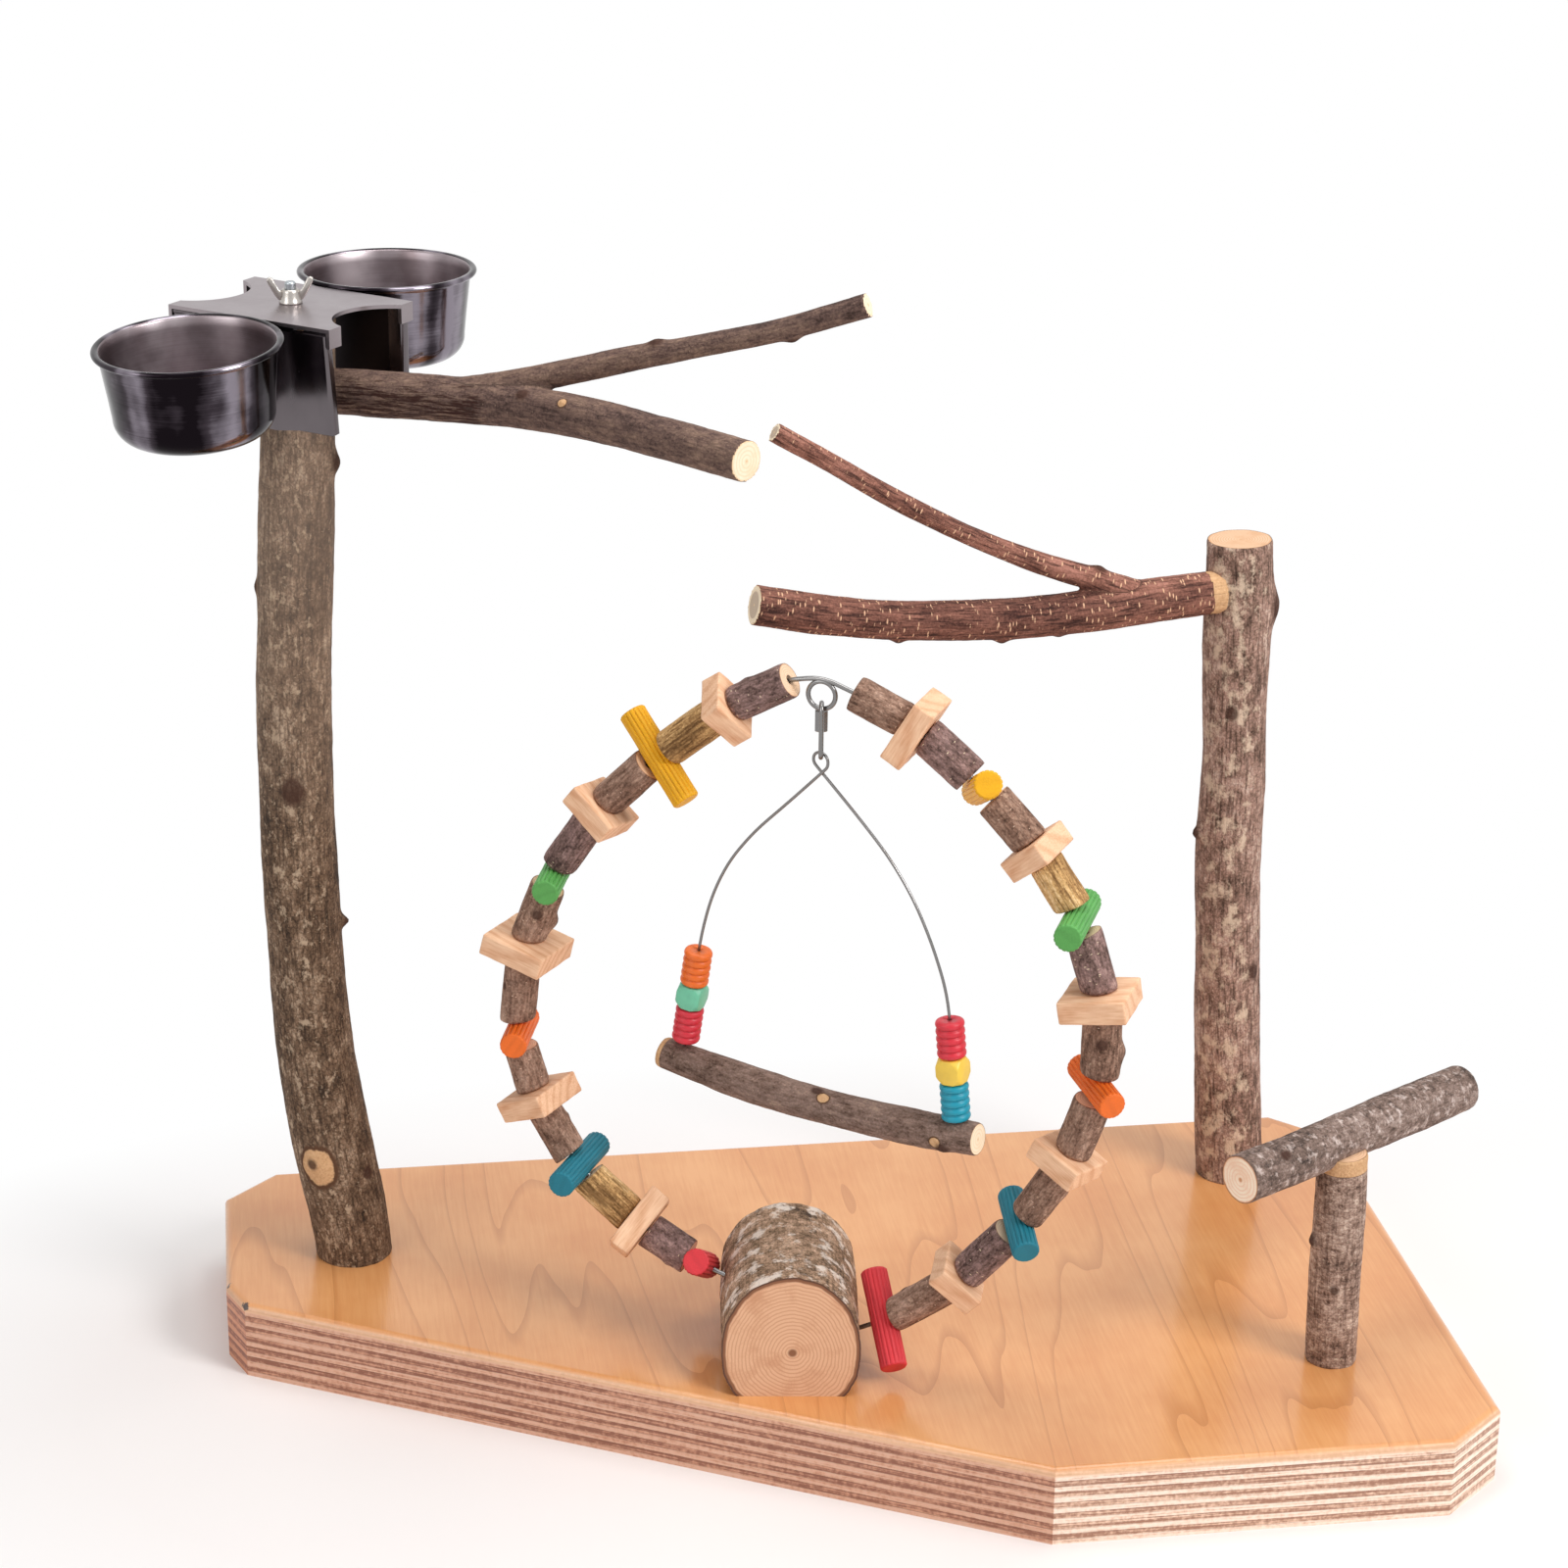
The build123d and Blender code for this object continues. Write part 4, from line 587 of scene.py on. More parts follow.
def cylinder(segments, cuts):
    """Closed unit cylinder along z, cut into rows of square faces, and its two end faces."""
    bm = bmesh.new()
    bmesh.ops.create_cone(bm, cap_ends=True, segments=segments, radius1=1.0, radius2=1.0, depth=1.0)
    upright = [e for e in bm.edges if abs(e.verts[0].co.z - e.verts[1].co.z) > 0.5]
    bmesh.ops.subdivide_edges(bm, edges=upright, cuts=cuts, use_grid_fill=True)
    return bm, [f for f in bm.faces if len(f.verts) > 4]


def log_roll(segments, cuts):
    """Closed unit cylinder with a centre point in each end, whose ends have the second material."""
    bm, ends = cylinder(segments, cuts)
    for face in ends:
        face.material_index = 1
    bmesh.ops.poke(bm, faces=ends)
    return bm


def lathe(profile, steps, closed, merge):
    """Turned shape from (radius, height) points, with points closer than merge made one."""
    bm = bmesh.new()
    verts = [bm.verts.new((r, 0.0, z)) for r, z in profile]
    ends = verts[1:] + verts[:1] if closed else verts[1:]
    edges = [bm.edges.new(pair) for pair in zip(verts, ends)]
    bmesh.ops.spin(bm, geom=verts + edges, axis=(0, 0, 1), cent=(0, 0, 0), steps=steps, angle=math.tau,
                   use_merge=True)
    bmesh.ops.remove_doubles(bm, verts=bm.verts, dist=merge)
    return bm


def pour(part, whole):
    """Add one shape to another, and free the one added."""
    scratch = bpy.data.meshes.new("scratch")
    part.to_mesh(scratch)
    part.free()
    whole.from_mesh(scratch)
    bpy.data.meshes.remove(scratch)


def bark_layers(bm):
    """New places for what the bark reads: grain is where a point lies on its limb."""
    return bm.verts.layers.float_vector.new("grain"), {
        key: bm.verts.layers.float.new(key) for key in ("rim", "bud", "scar", "split")}


# how far a sawn edge is rounded, inwards and along the limb
EDGE_IN, EDGE_ALONG = 0.4 * MM, 0.5 * MM


def grow(bm, run, knots=(), relief=(0.5, 0.25, 0.12), seed=0.0, bare_start=0.0, bare_end=0.0):
    """Bend a unit cylinder along a limb, raise its knots and bark, and mark them for the bark.

    The bark is off for the first bare_start and the last bare_end millimetres."""
    grain_layer, layers = bark_layers(bm)
    marks = knot_marks(run, knots)
    for v in bm.verts:
        length = (v.co.z + 0.5) * run.length
        share = math.hypot(v.co.x, v.co.y)
        angle = math.atan2(v.co.y, v.co.x)
        point, side, third, _, radius = run.at(length)
        grain = (v.co.x * radius, v.co.y * radius, length)
        rise, bud, scar = knot_effect(marks, length, angle, radius)
        out = radius
        if share > 0.5:
            end = min(length, run.length - length)
            out += swell(grain, radius, seed, *relief) + rise - EDGE_IN * math.exp(-end / EDGE_ALONG)
        spot = point + (side * v.co.x + third * v.co.y) * out
        v[grain_layer] = (grain[0], grain[1], length + seed)
        v[layers["rim"]] = share
        v[layers["bud"]] = bud
        v[layers["scar"]] = max(scar, 1.0 if length < bare_start * MM else 0.0,
                                1.0 if length > run.length - bare_end * MM else 0.0)
        v.co = spot
    return bm


def saw_off(bm, point, normal):
    """Cut off what lies on the normal's side of a plane, close the cut, and give it the end grain."""
    cut = bmesh.ops.bisect_plane(bm, geom=bm.verts[:] + bm.edges[:] + bm.faces[:], dist=1e-7,
                                 plane_co=Vector(point) * MM, plane_no=normal, clear_outer=True)
    edges = [e for e in cut["geom_cut"] if isinstance(e, bmesh.types.BMEdge)]
    faces = bmesh.ops.contextual_create(bm, geom=edges)["faces"]
    for face in faces:
        face.material_index = 1
    poked = bmesh.ops.poke(bm, faces=faces)
    grain, rim = bm.verts.layers.float_vector["grain"], bm.verts.layers.float["rim"]
    for middle in poked["verts"]:
        ring = [e.other_vert(middle) for e in middle.link_edges]
        middle[grain] = sum((v[grain] for v in ring), Vector()) / len(ring)
        middle[rim] = math.hypot(middle[grain].x, middle[grain].y) / max(
            math.hypot(v[grain].x, v[grain].y) for v in ring)


LEFT_POST = [(-258.6, 88.9, 36.0, 21.0), (-259.6, 89.1, 44.0, 21.0), (-262.5, 89.5, 70.0, 21.8),
             (-267.2, 90.2, 95.6, 22.0), (-272.5, 91.1, 131.7, 21.8), (-278.0, 91.9, 184.7, 20.9),
             (-281.0, 92.3, 250.0, 20.5), (-281.8, 92.5, 319.0, 20.2), (-280.8, 92.3, 390.0, 20.0),
             (-276.8, 91.7, 470.0, 19.8), (-273.5, 91.2, 530.0, 19.4), (-271.8, 91.0, 592.0, 19.2)]
RIGHT_POST = [(259.5, 121.4, 36.0, 19.4), (258.9, 121.5, 44.0, 19.4), (257.0, 121.8, 74.0, 19.5),
              (253.3, 122.4, 134.0, 19.4), (249.7, 122.9, 195.0, 18.6), (248.1, 123.2, 244.0, 18.8),
              (247.8, 123.2, 300.0, 18.4), (246.2, 123.4, 350.0, 18.4), (245.3, 123.6, 388.0, 19.0),
              (244.9, 123.6, 415.0, 18.8), (244.1, 123.8, 437.0, 18.4)]
SHORT_POST = [(257.2, -97.0, 36.0, 13.6), (257.0, -97.0, 44.0, 13.6), (256.4, -96.9, 72.0, 13.9),
              (256.0, -96.9, 98.5, 13.8), (256.2, -96.9, 125.0, 13.5), (255.6, -96.8, 168.0, 13.3)]
UPPER_THICK = [(-266.0, 84.5, 547.0, 12.0), (-254.7, 75.6, 549.0, 12.0), (-227.9, 57.9, 550.9, 12.1),
               (-200.6, 39.2, 553.2, 11.7), (-165.5, 11.6, 555.8, 11.0), (-131.0, -25.0, 557.8, 10.5),
               (-98.4, -64.9, 558.4, 10.3), (-66.2, -105.5, 558.2, 10.1)]
UPPER_THIN = [(-212.0, 46.5, 552.0, 9.0), (-182.4, 26.6, 561.0, 7.6), (-146.1, 7.9, 572.6, 6.4),
              (-110.5, -9.0, 584.2, 6.4), (-75.2, -25.2, 594.4, 5.6), (-40.6, -41.6, 605.2, 5.7),
              (-1.2, -59.9, 621.0, 5.9)]
LOWER_THICK = [(232.0, 117.0, 408.8, 12.2), (222.6, 115.4, 408.7, 12.2), (190.0, 112.2, 406.6, 12.4),
               (154.7, 107.2, 404.0, 11.9), (106.0, 99.2, 403.8, 11.3), (50.0, 91.0, 407.8, 11.0),
               (9.2, 86.0, 413.6, 10.8), (-35.2, 80.7, 423.4, 10.9)]
LOWER_THIN = [(192.0, 112.5, 407.0, 9.0), (160.5, 109.0, 420.4, 6.9), (122.0, 105.4, 434.8, 6.0),
              (80.0, 100.8, 454.4, 5.2), (39.0, 96.0, 477.4, 5.6), (8.9, 93.0, 496.4, 5.3),
              (-24.1, 89.1, 516.4, 5.2)]
CROSS_PERCH = [(190.9, -129.4, 172.0, 13.1), (228.0, -107.4, 171.5, 12.8), (264.0, -85.1, 172.0, 12.9),
               (302.0, -62.0, 172.3, 13.0), (339.1, -39.5, 172.0, 12.7)]


POST_TOP = 588.05


def post(name, stations, knots, seed, materials, top=None, **details):
    """Natural post standing on the board."""
    run = Run(stations)
    segments = int(math.tau * run.radii.max() / (1.5 * MM))
    bm = grow(log_roll(segments, int(run.length / (1.6 * MM))), run, knots, seed=seed, **details)
    saw_off(bm, (0, 0, BOARD_TOP), (0, 0, -1))
    if top:
        saw_off(bm, (0, 0, top), (0, 0, 1))
    dress(name + "_bark", bm, materials, nodes=[name])


post("left_post", LEFT_POST,
     [(-278.0, 71.0, 107.0, 15.5, 1.3, "scar"), (-281.0, 71.5, 109.0, 4.0, 0.8, "bud"),
      (-297.5, 92.0, 440.0, 5.0, 1.6, "bud"), (-262.0, 90.0, 247.0, 4.0, 4.5, "bud"),
      (-252.0, 84.0, 508.0, 7.0, 3.5, "bud"), (-284.0, 72.0, 331.0, 9.5, 1.4, "bud"),
      (-246.0, 72.0, 100.0, 5.0, -0.6, "bud")],
     1.0, [POST_BARK, PALE_END], top=POST_TOP, relief=(1.0, 0.35, 0.16))
post("right_post", RIGHT_POST,
     [(229.5, 120.5, 263.0, 4.5, 4.2, "bud"), (263.5, 119.0, 400.0, 12.0, 3.6, "bud"),
      (240.0, 105.0, 340.0, 5.0, 0.5, "bud"), (262.0, 108.0, 180.0, 6.0, 0.8, "bud")],
     2.0, [TALL_BARK, TAN_END], relief=(0.9, 0.35, 0.18))
post("short_post", SHORT_POST,
     [(243.2, -99.0, 117.0, 4.5, 3.0, "bud"), (252.0, -111.0, 92.0, 3.5, 0.8, "bud")],
     3.0, [SHORT_BARK, TAN_END], relief=(0.6, 0.35, 0.18), bare_end=9.0)


def straight_perch(name, stations, knots, seed, materials, body="stand", step=1.3, **details):
    """Perch of one piece with two sawn ends, in faces of about step millimetres."""
    run = Run(stations)
    segments = int(math.tau * run.radii.max() / (step * MM))
    bm = grow(log_roll(segments, int(run.length / (step * MM))), run, knots, seed=seed, **details)
    dress(name + "_bark", bm, materials, body=body, nodes=[name])


straight_perch("cross_perch", CROSS_PERCH, [(215.0, -122.0, 179.0, 4.0, 0.5, "bud")], 4.0,
               [PERCH_BARK, RING_END], relief=(0.5, 0.35, 0.2))


FUSED_FACE, CROTCH_REACH, CROTCH_PASSES = 0.95 * MM, 3.2 * MM, 14
END_DEPTH, SQUARE_ON = 1.2 * MM, 0.7


def fused(name, arms):
    """One closed skin round all arms, in small even faces."""
    blank = bmesh.new()
    for run in arms:
        arm = log_roll(48, int(run.length / (2.0 * MM)))
        for v in arm.verts:
            point, side, third, _, radius = run.at((v.co.z + 0.5) * run.length)
            v.co = point + (side * v.co.x + third * v.co.y) * radius
        pour(arm, blank)
    mesh = bpy.data.meshes.new(name + "_blank")
    blank.to_mesh(mesh)
    blank.free()
    solid = bpy.data.objects.new(name + "_blank", mesh)
    bpy.context.scene.collection.objects.link(solid)
    skin = solid.modifiers.new("fuse", "REMESH")
    skin.mode = "VOXEL"
    skin.voxel_size = FUSED_FACE
    whole = bpy.data.meshes.new_from_object(solid.evaluated_get(bpy.context.evaluated_depsgraph_get()))
    bpy.data.objects.remove(solid)
    bpy.data.meshes.remove(mesh)
    bm = bmesh.new()
    bm.from_mesh(whole)
    bpy.data.meshes.remove(whole)
    return bm


def fork(name, thick, thin, knots, seed, materials, node, split, bare_start=0.0):
    """Forked branch: both arms fused into one skin, then given their bark along each arm.

    The last number of a knot is its arm. split is where the skin is torn on the thick arm: from,
    to, and the angle it faces."""
    arms = [Run(thick), Run(thin)]
    bm = fused(name, arms)

    def measure():
        """Place of every point along both arms, and its height over their skins."""
        spots = np.array([v.co[:] for v in bm.verts])
        found = [run.locate(spots) for run in arms]
        gaps = [np.hypot(x, y) - radius for _, x, y, radius in found]
        return found, gaps

    _, gaps = measure()
    crotch = [v for v, a, b in zip(bm.verts, gaps[0], gaps[1]) if max(a, b) < CROTCH_REACH]
    for _ in range(CROTCH_PASSES):
        bmesh.ops.smooth_vert(bm, verts=crotch, factor=0.5, use_axis_x=True, use_axis_y=True, use_axis_z=True)
    found, gaps = measure()
    bm.normal_update()
    grain_layer, layers = bark_layers(bm)
    marks = [knot_marks(run, [k[:6] for k in knots if k[6] == i]) for i, run in enumerate(arms)]
    moved = []
    for i, v in enumerate(bm.verts):
        arm = 0 if gaps[0][i] <= gaps[1][i] + 0.4 * MM else 1
        length, x, y, radius = (float(a[i]) for a in found[arm])
        angle = math.atan2(y, x)
        share = math.hypot(x, y) / radius
        rise, bud, scar = knot_effect(marks[arm], length, angle, radius)
        tangent = Vector(arms[arm].at(length)[3])
        flat = abs(v.normal.dot(tangent)) > SQUARE_ON and min(length, arms[arm].length - length) < 1.5 * MM
        v[grain_layer] = (x, y, length + seed + 0.7 * arm)
        v[layers["rim"]] = min(share, 1.0)
        v[layers["bud"]] = bud
        v[layers["scar"]] = max(scar, 1.0 if arm == 0 and length < bare_start * MM else 0.0)
        if arm == 0:
            low, high, turn = split
            within = min(length - low * MM, high * MM - length) / (14 * MM)
            facing = max(0.0, math.cos(angle - math.radians(turn)))
            v[layers["split"]] = max(0.0, min(1.0, within)) * (0.35 + 0.65 * facing)
        lift = 0.0 if flat else swell((x, y, length), radius, seed, 0.5, 0.28, 0.14) + rise
        moved.append(v.co + v.normal * lift)
    for v, spot in zip(bm.verts, moved):
        v.co = spot
    for face in bm.faces:
        middle = np.array([face.calc_center_median()[:]])
        for run in arms:
            length, x, y, radius = (float(a[0]) for a in run.locate(middle))
            end = min(length, run.length - length)
            if end < END_DEPTH and math.hypot(x, y) < radius * 1.02:
                if abs(face.normal.dot(Vector(run.at(length)[3]))) > SQUARE_ON + 0.05:
                    face.material_index = 1
    dress(name, bm, materials, nodes=[node])


fork("upper_fork_bark", UPPER_THICK, UPPER_THIN,
     [(-161.5, 2.6, 561.0, 4.5, 1.6, "bud", 0), (-142.0, -16.2, 560.0, 3.5, 1.0, "scar", 0),
      (-98.2, -15.6, 592.0, 5.0, 1.6, "bud", 1), (-35.2, -44.5, 601.0, 4.5, 1.8, "bud", 1)],
     5.0, [FORK_BARK, PALE_END], "upper_fork_branch", (12.0, 118.0, 200.0))
fork("lower_fork_bark", LOWER_THICK, LOWER_THIN,
     [(104.5, 97.2, 393.0, 4.5, 2.2, "bud", 0), (45.0, 88.6, 397.5, 4.0, 2.0, "bud", 0),
      (160.0, 108.0, 427.0, 5.0, 2.0, "bud", 1), (138.0, 104.0, 393.0, 4.5, 1.6, "bud", 0)],
     6.0, [CHERRY_BARK, HEART_END], "lower_fork_branch", (60.0, 210.0, 40.0), bare_start=8.0)

# ---------------------------------------------------------------- hoop: log, twig beads, blocks, dowels
LOG_YAW, LOG_MIDDLE, LOG_AXIS_Z, LOG_HALF_LENGTH = -7.7, (-31.5, -50.5), 69.5, 50.5
LOG_RADII = (36.4, 36.6, 36.8, 36.6, 36.4)
LOG_LEAN = math.radians(14.0)
# how much wider the log is at its foot than a round one
LOG_SQUARENESS = 0.16


def hoop_log():
    """Half-flattened log with a leaning front face, lying along its own axis."""
    turn = math.radians(90 + LOG_YAW)
    back = Vector((math.cos(turn), math.sin(turn), 0.0))
    axis = [Vector((*LOG_MIDDLE, LOG_AXIS_Z)) + back * reach
            for reach in (-LOG_HALF_LENGTH, -25.0, 0.0, 25.0, LOG_HALF_LENGTH)]
    run = Run([(*p, r) for p, r in zip(axis, LOG_RADII)])
    bm = grow(log_roll(150, 62), run, seed=7.0, relief=(0.8, 0.5, 0.28))
    # the log grew a little square at its foot
    across = Vector((-back.y, back.x, 0.0))
    for v in bm.verts:
        offset = (v.co - Vector((*LOG_MIDDLE, 0.0)) * MM).dot(across)
        drop = max(0.0, LOG_AXIS_Z - v.co.z / MM) / (LOG_AXIS_Z - BOARD_TOP)
        v.co += across * offset * LOG_SQUARENESS * min(1.0, drop) ** 2
    saw_off(bm, (0, 0, BOARD_TOP), (0, 0, -1))
    foot = Vector((axis[0].x, axis[0].y, BOARD_TOP))
    saw_off(bm, foot, -back * math.cos(LOG_LEAN) + Vector((0, 0, math.sin(LOG_LEAN))))
    dress("hoop_log_bark", bm, [LOG_BARK, LOG_END], nodes=["hoop_log"])


hoop_log()

# the hoop's own plane: x across it, y upwards
HOOP = Matrix.Translation(Vector((-30.0, -53.0, 0.0))) @ Matrix.Rotation(math.radians(-28.8), 4, "Z") \
    @ ACROSS_TO_UP
HOOP_CENTRE = Vector((4.0, 250.0, 0.0))
LEFT_RUN = [(-19.0, 76.8), (-53.0, 85.2), (-89.6, 103.4), (-125.4, 131.6), (-148.6, 168.2),
            (-160.2, 206.2), (-154.6, 257.4), (-138.0, 301.0), (-110.8, 342.4), (-77.6, 376.4),
            (-40.6, 407.4), (-6.5, 427.3)]
HOOP_TOP = (10.8, 431.0)
RIGHT_RUN = [(28.6, 424.8), (61.4, 411.6), (96.4, 384.4), (126.4, 354.8), (149.4, 321.6),
             (163.2, 279.0), (163.2, 231.2), (149.2, 187.0), (124.4, 145.0), (92.8, 106.2),
             (52.0, 73.0), (22.5, 57.5)]
HOOP_RUN = [Vector((*p, 0.0)) for p in LEFT_RUN + [HOOP_TOP] + RIGHT_RUN]
# share of a straight run that the bend beside it takes up
ARC_SHARE = 0.47
BLOCK_T, DOWEL_D, TOY_GAP = 12.0, 14.5, 0.8
BLOCK_EASING, BLOCK_WARP, BLOCK_NICKS = 1.0, 0.35, 0.12
FLUTES, FLUTE_STEPS, FLUTE_DEPTH, DOWEL_EASING = 18, 8, 0.85, 0.8
TWIG_LENGTH, TWIG_BORE = 28.0, 2.7
# knots of a twig length, as (share of its length, angle, size, rise)
TWIG_KNOTS = [(0.35, 2.2, 5.0, 3.0), (0.62, 0.3, 4.5, 2.4), (0.5, 4.2, 4.0, 2.0)]


def hoop_stop(index):
    """Place and direction on the hoop, in its own plane, where a block or dowel is threaded."""
    into = (HOOP_RUN[index] - HOOP_RUN[index - 1])
    out = (HOOP_RUN[index + 1] - HOOP_RUN[index])
    shorter = min(into.length, out.length)
    into, out = into.normalized(), out.normalized()
    half_turn = into.angle(out) / 2
    radius = ARC_SHARE * shorter / math.tan(half_turn)
    inward = (out - into).normalized()
    return HOOP_RUN[index] + inward * radius * (1 / math.cos(half_turn) - 1), (into + out).normalized()


def toy_matrix(index, turn):
    """Placing matrix of a toy: z along the wire, x outwards and turned about the wire."""
    place, along = hoop_stop(index)
    outward = Vector((along.y, -along.x, 0.0))
    if outward.dot(place - HOOP_CENTRE) < 0:
        outward.negate()
    a = math.radians(turn)
    x_dir = outward * math.cos(a) + Vector((0, 0, -1)) * math.sin(a)
    y_dir = along.cross(x_dir)
    axes = Matrix((x_dir, y_dir, along)).transposed().to_4x4()
    return METRES @ HOOP @ Matrix.Translation(place) @ axes


def mark_grain(bm, seed):
    """Keep each point's place in the toy's own axes, in metres, for the wood grain."""
    layer = bm.verts.layers.float_vector.new("grain")
    for v in bm.verts:
        v[layer] = v.co * MM + Vector((seed * 0.37, (seed * 0.013) % 0.02, (seed * 0.007) % 0.015))


def block(name, index, side, turn, seed):
    """Sawn square block with eased edges, never quite flat or square."""
    bm = bmesh.new()
    bmesh.ops.create_cube(bm, size=1.0)
    bmesh.ops.scale(bm, vec=(side, side, BLOCK_T), verts=bm.verts)
    bmesh.ops.bevel(bm, geom=bm.edges[:], offset=BLOCK_EASING, segments=3, profile=0.5, affect="EDGES",
                    material=-1)
    long_edges = [e for e in bm.edges if e.calc_length() > 8.0]
    bmesh.ops.subdivide_edges(bm, edges=long_edges, cuts=11, use_grid_fill=True)
    for v in bm.verts:
        p = v.co * 0.12 + Vector((seed * 3.1, 0.0, 0.0))
        v.co += v.co.normalized() * BLOCK_WARP * noise.noise(p)
        v.co.z += BLOCK_NICKS * noise.noise(p * 6)
    mark_grain(bm, seed)
    bm.transform(toy_matrix(index, turn))
    dress(name + "_wood", bm, [BLOCK_WOOD], body=name, nodes=[name])


def dowel(name, index, length, turn, colour, seed):
    """Fluted dowel, threaded crosswise, sawn square with its edges just broken."""
    bm, ends = cylinder(FLUTES * FLUTE_STEPS, 26)
    bmesh.ops.inset_individual(bm, faces=ends, thickness=0.16)
    for v in bm.verts:
        share = math.hypot(v.co.x, v.co.y)
        angle = math.atan2(v.co.y, v.co.x)
        groove = max(0.0, math.cos(angle * FLUTES)) ** 2.0 * FLUTE_DEPTH
        # rows of faces are closer together near the ends
        end = (0.5 - abs(v.co.z)) * length
        end *= min(1.0, 0.25 + end / 12.0)
        on_side = share > 0.9
        depth = groove * min(1.0, 0.15 + end / 3.0) if on_side else 0.0
        shrink = 0.75 * max(0.0, 1.0 - end / DOWEL_EASING) if on_side else 0.0
        out = DOWEL_D / 2 - depth - shrink
        wobble = 0.12 * noise.noise(Vector((v.co.x, v.co.y, v.co.z * 6 + seed)))
        reach = math.copysign(length / 2 - end, v.co.z)
        v.co = Vector((reach, v.co.x * (out + wobble), v.co.y * (out + wobble)))
    mark_grain(bm, seed)
    bm.transform(toy_matrix(index, turn))
    dress(name + "_fluted", bm, [DYED[colour]], body=name, nodes=[name])


def half_thickness(number):
    """Half of what toy number 1 to 10 takes along the wire: blocks and dowels alternate."""
    return BLOCK_T / 2 if number % 2 else DOWEL_D / 2


def saw_planes(index_of, number):
    """Point and direction of the two cuts of a twig length, each parallel to the toy beside it."""
    near, far = index_of(number), index_of(number - 1)
    planes = []
    for index, toy, other in ((near, number, far), (far, number - 1, near)):
        place, along = hoop_stop(index)
        towards = 1.0 if other > index else -1.0
        reach = half_thickness(toy) + TOY_GAP
        if toy == 0:
            # the topmost length has no toy above it and is cut square
            place, reach = HOOP_RUN[index], 0.0
            along = (HOOP_RUN[near] - place).normalized() * (1 if near > far else -1)
        planes.append((place + along * towards * reach, along * towards))
    return planes


def twig_bead(index_of, number, radius, seed, knotted, stripped):
    """Sawn twig length between two toys: its ends are parallel to them, its bore takes the wire."""
    planes = saw_planes(index_of, number)
    start, end = HOOP_RUN[index_of(number)], HOOP_RUN[index_of(number - 1)]
    axis = (end - start).normalized()
    side = Vector((0, 0, 1))
    third = axis.cross(side)
    roll, ends = cylinder(52, 24)
    bmesh.ops.inset_individual(roll, faces=ends, thickness=1.0 - TWIG_BORE / radius)
    for face in roll.faces:
        if abs(face.calc_center_median().z) > 0.499:
            face.material_index = 1
    loops = [e for f in ends for e in f.edges]
    bmesh.ops.delete(roll, geom=ends, context="FACES_ONLY")
    tube = bmesh.ops.bridge_loops(roll, edges=loops)["faces"]
    for face in tube:
        face.material_index = 1
    grain, layers = bark_layers(roll)
    spots = TWIG_KNOTS if knotted else []
    if not knotted and int(seed * 10) % 3 == 0:
        spots = [(0.3 + 0.4 * ((seed * 7) % 1.0), seed * 2.0, 2.6, 0.7)]
    for v in roll.verts:
        share = math.hypot(v.co.x, v.co.y)
        angle = math.atan2(v.co.y, v.co.x)
        t = v.co.z + 0.5
        rise, bud, lift = 0.0, 0.0, 0.0
        if share > 0.9:
            for at, turn, size, height in spots:
                around = turned_from(angle, turn) * radius
                spot = ((t - at) * TWIG_LENGTH / size) ** 2 + (around / size) ** 2
                rise += height * math.exp(-1.2 * spot)
                bud = max(bud, math.exp(-2.5 * spot))
            relief = (0.5, 0.45, 0.08) if stripped else (0.45, 0.25, 0.12)
            bark_place = Vector((v.co.x * radius, v.co.y * radius, t * TWIG_LENGTH)) * MM
            lift = swell(bark_place, radius * MM, seed, *relief) / MM
            lift += rise - 0.35 * math.exp(-min(t, 1 - t) * TWIG_LENGTH / 0.6)
        out = radius + lift
        around = (side * v.co.x + third * v.co.y) * out
        reaches = [(place - start - around).dot(normal) / axis.dot(normal) for place, normal in planes]
        length = reaches[0] + (reaches[1] - reaches[0]) * t
        v.co = start + around + axis * length
        v[grain] = (around.dot(side) * MM, around.dot(third) * MM, length * MM + seed)
        v[layers["rim"]] = share
        v[layers["bud"]] = bud
    roll.transform(METRES @ HOOP)
    return roll


LEFT_BEAD_R = [9.4, 9.8, 9.4, 9.4, 9.6, 9.6, 9.4, 9.4, 10.2, 9.8]
RIGHT_BEAD_R = [9.4, 10.0, 9.8, 9.6, 9.6, 10.2, 9.8, 9.6, 9.6, 9.4]
# blocks as (side, turn about the wire), dowels as (length, turn), from the top of each side downwards
LEFT_BLOCKS = [(27.0, -32.0), (29.5, 11.0), (36.5, 6.0), (32.5, 17.0), (37.5, -39.0)]
RIGHT_BLOCKS = [(34.0, 4.0), (27.0, -17.0), (35.0, 1.0), (30.0, -19.0), (27.5, 15.0)]
LEFT_DOWELS = [(55.0, 15.0), (42.0, 79.0), (42.0, 76.0), (55.0, 88.0), (48.0, 57.0)]
RIGHT_DOWELS = [(55.0, -56.0), (55.0, -84.0), (42.0, -50.0), (42.0, -56.0), (55.0, -38.0)]
COLOURS = list(DYES)
# which twig lengths are knotted, have lost their bark, or are plum-coloured, counted from the top
KNOTTED = {("left", 5), ("right", 6)}
STRIPPED = {("left", 2), ("left", 9), ("right", 4)}
PLUM = {("left", 1), ("left", 4), ("left", 10), ("right", 2), ("right", 5), ("right", 9)}


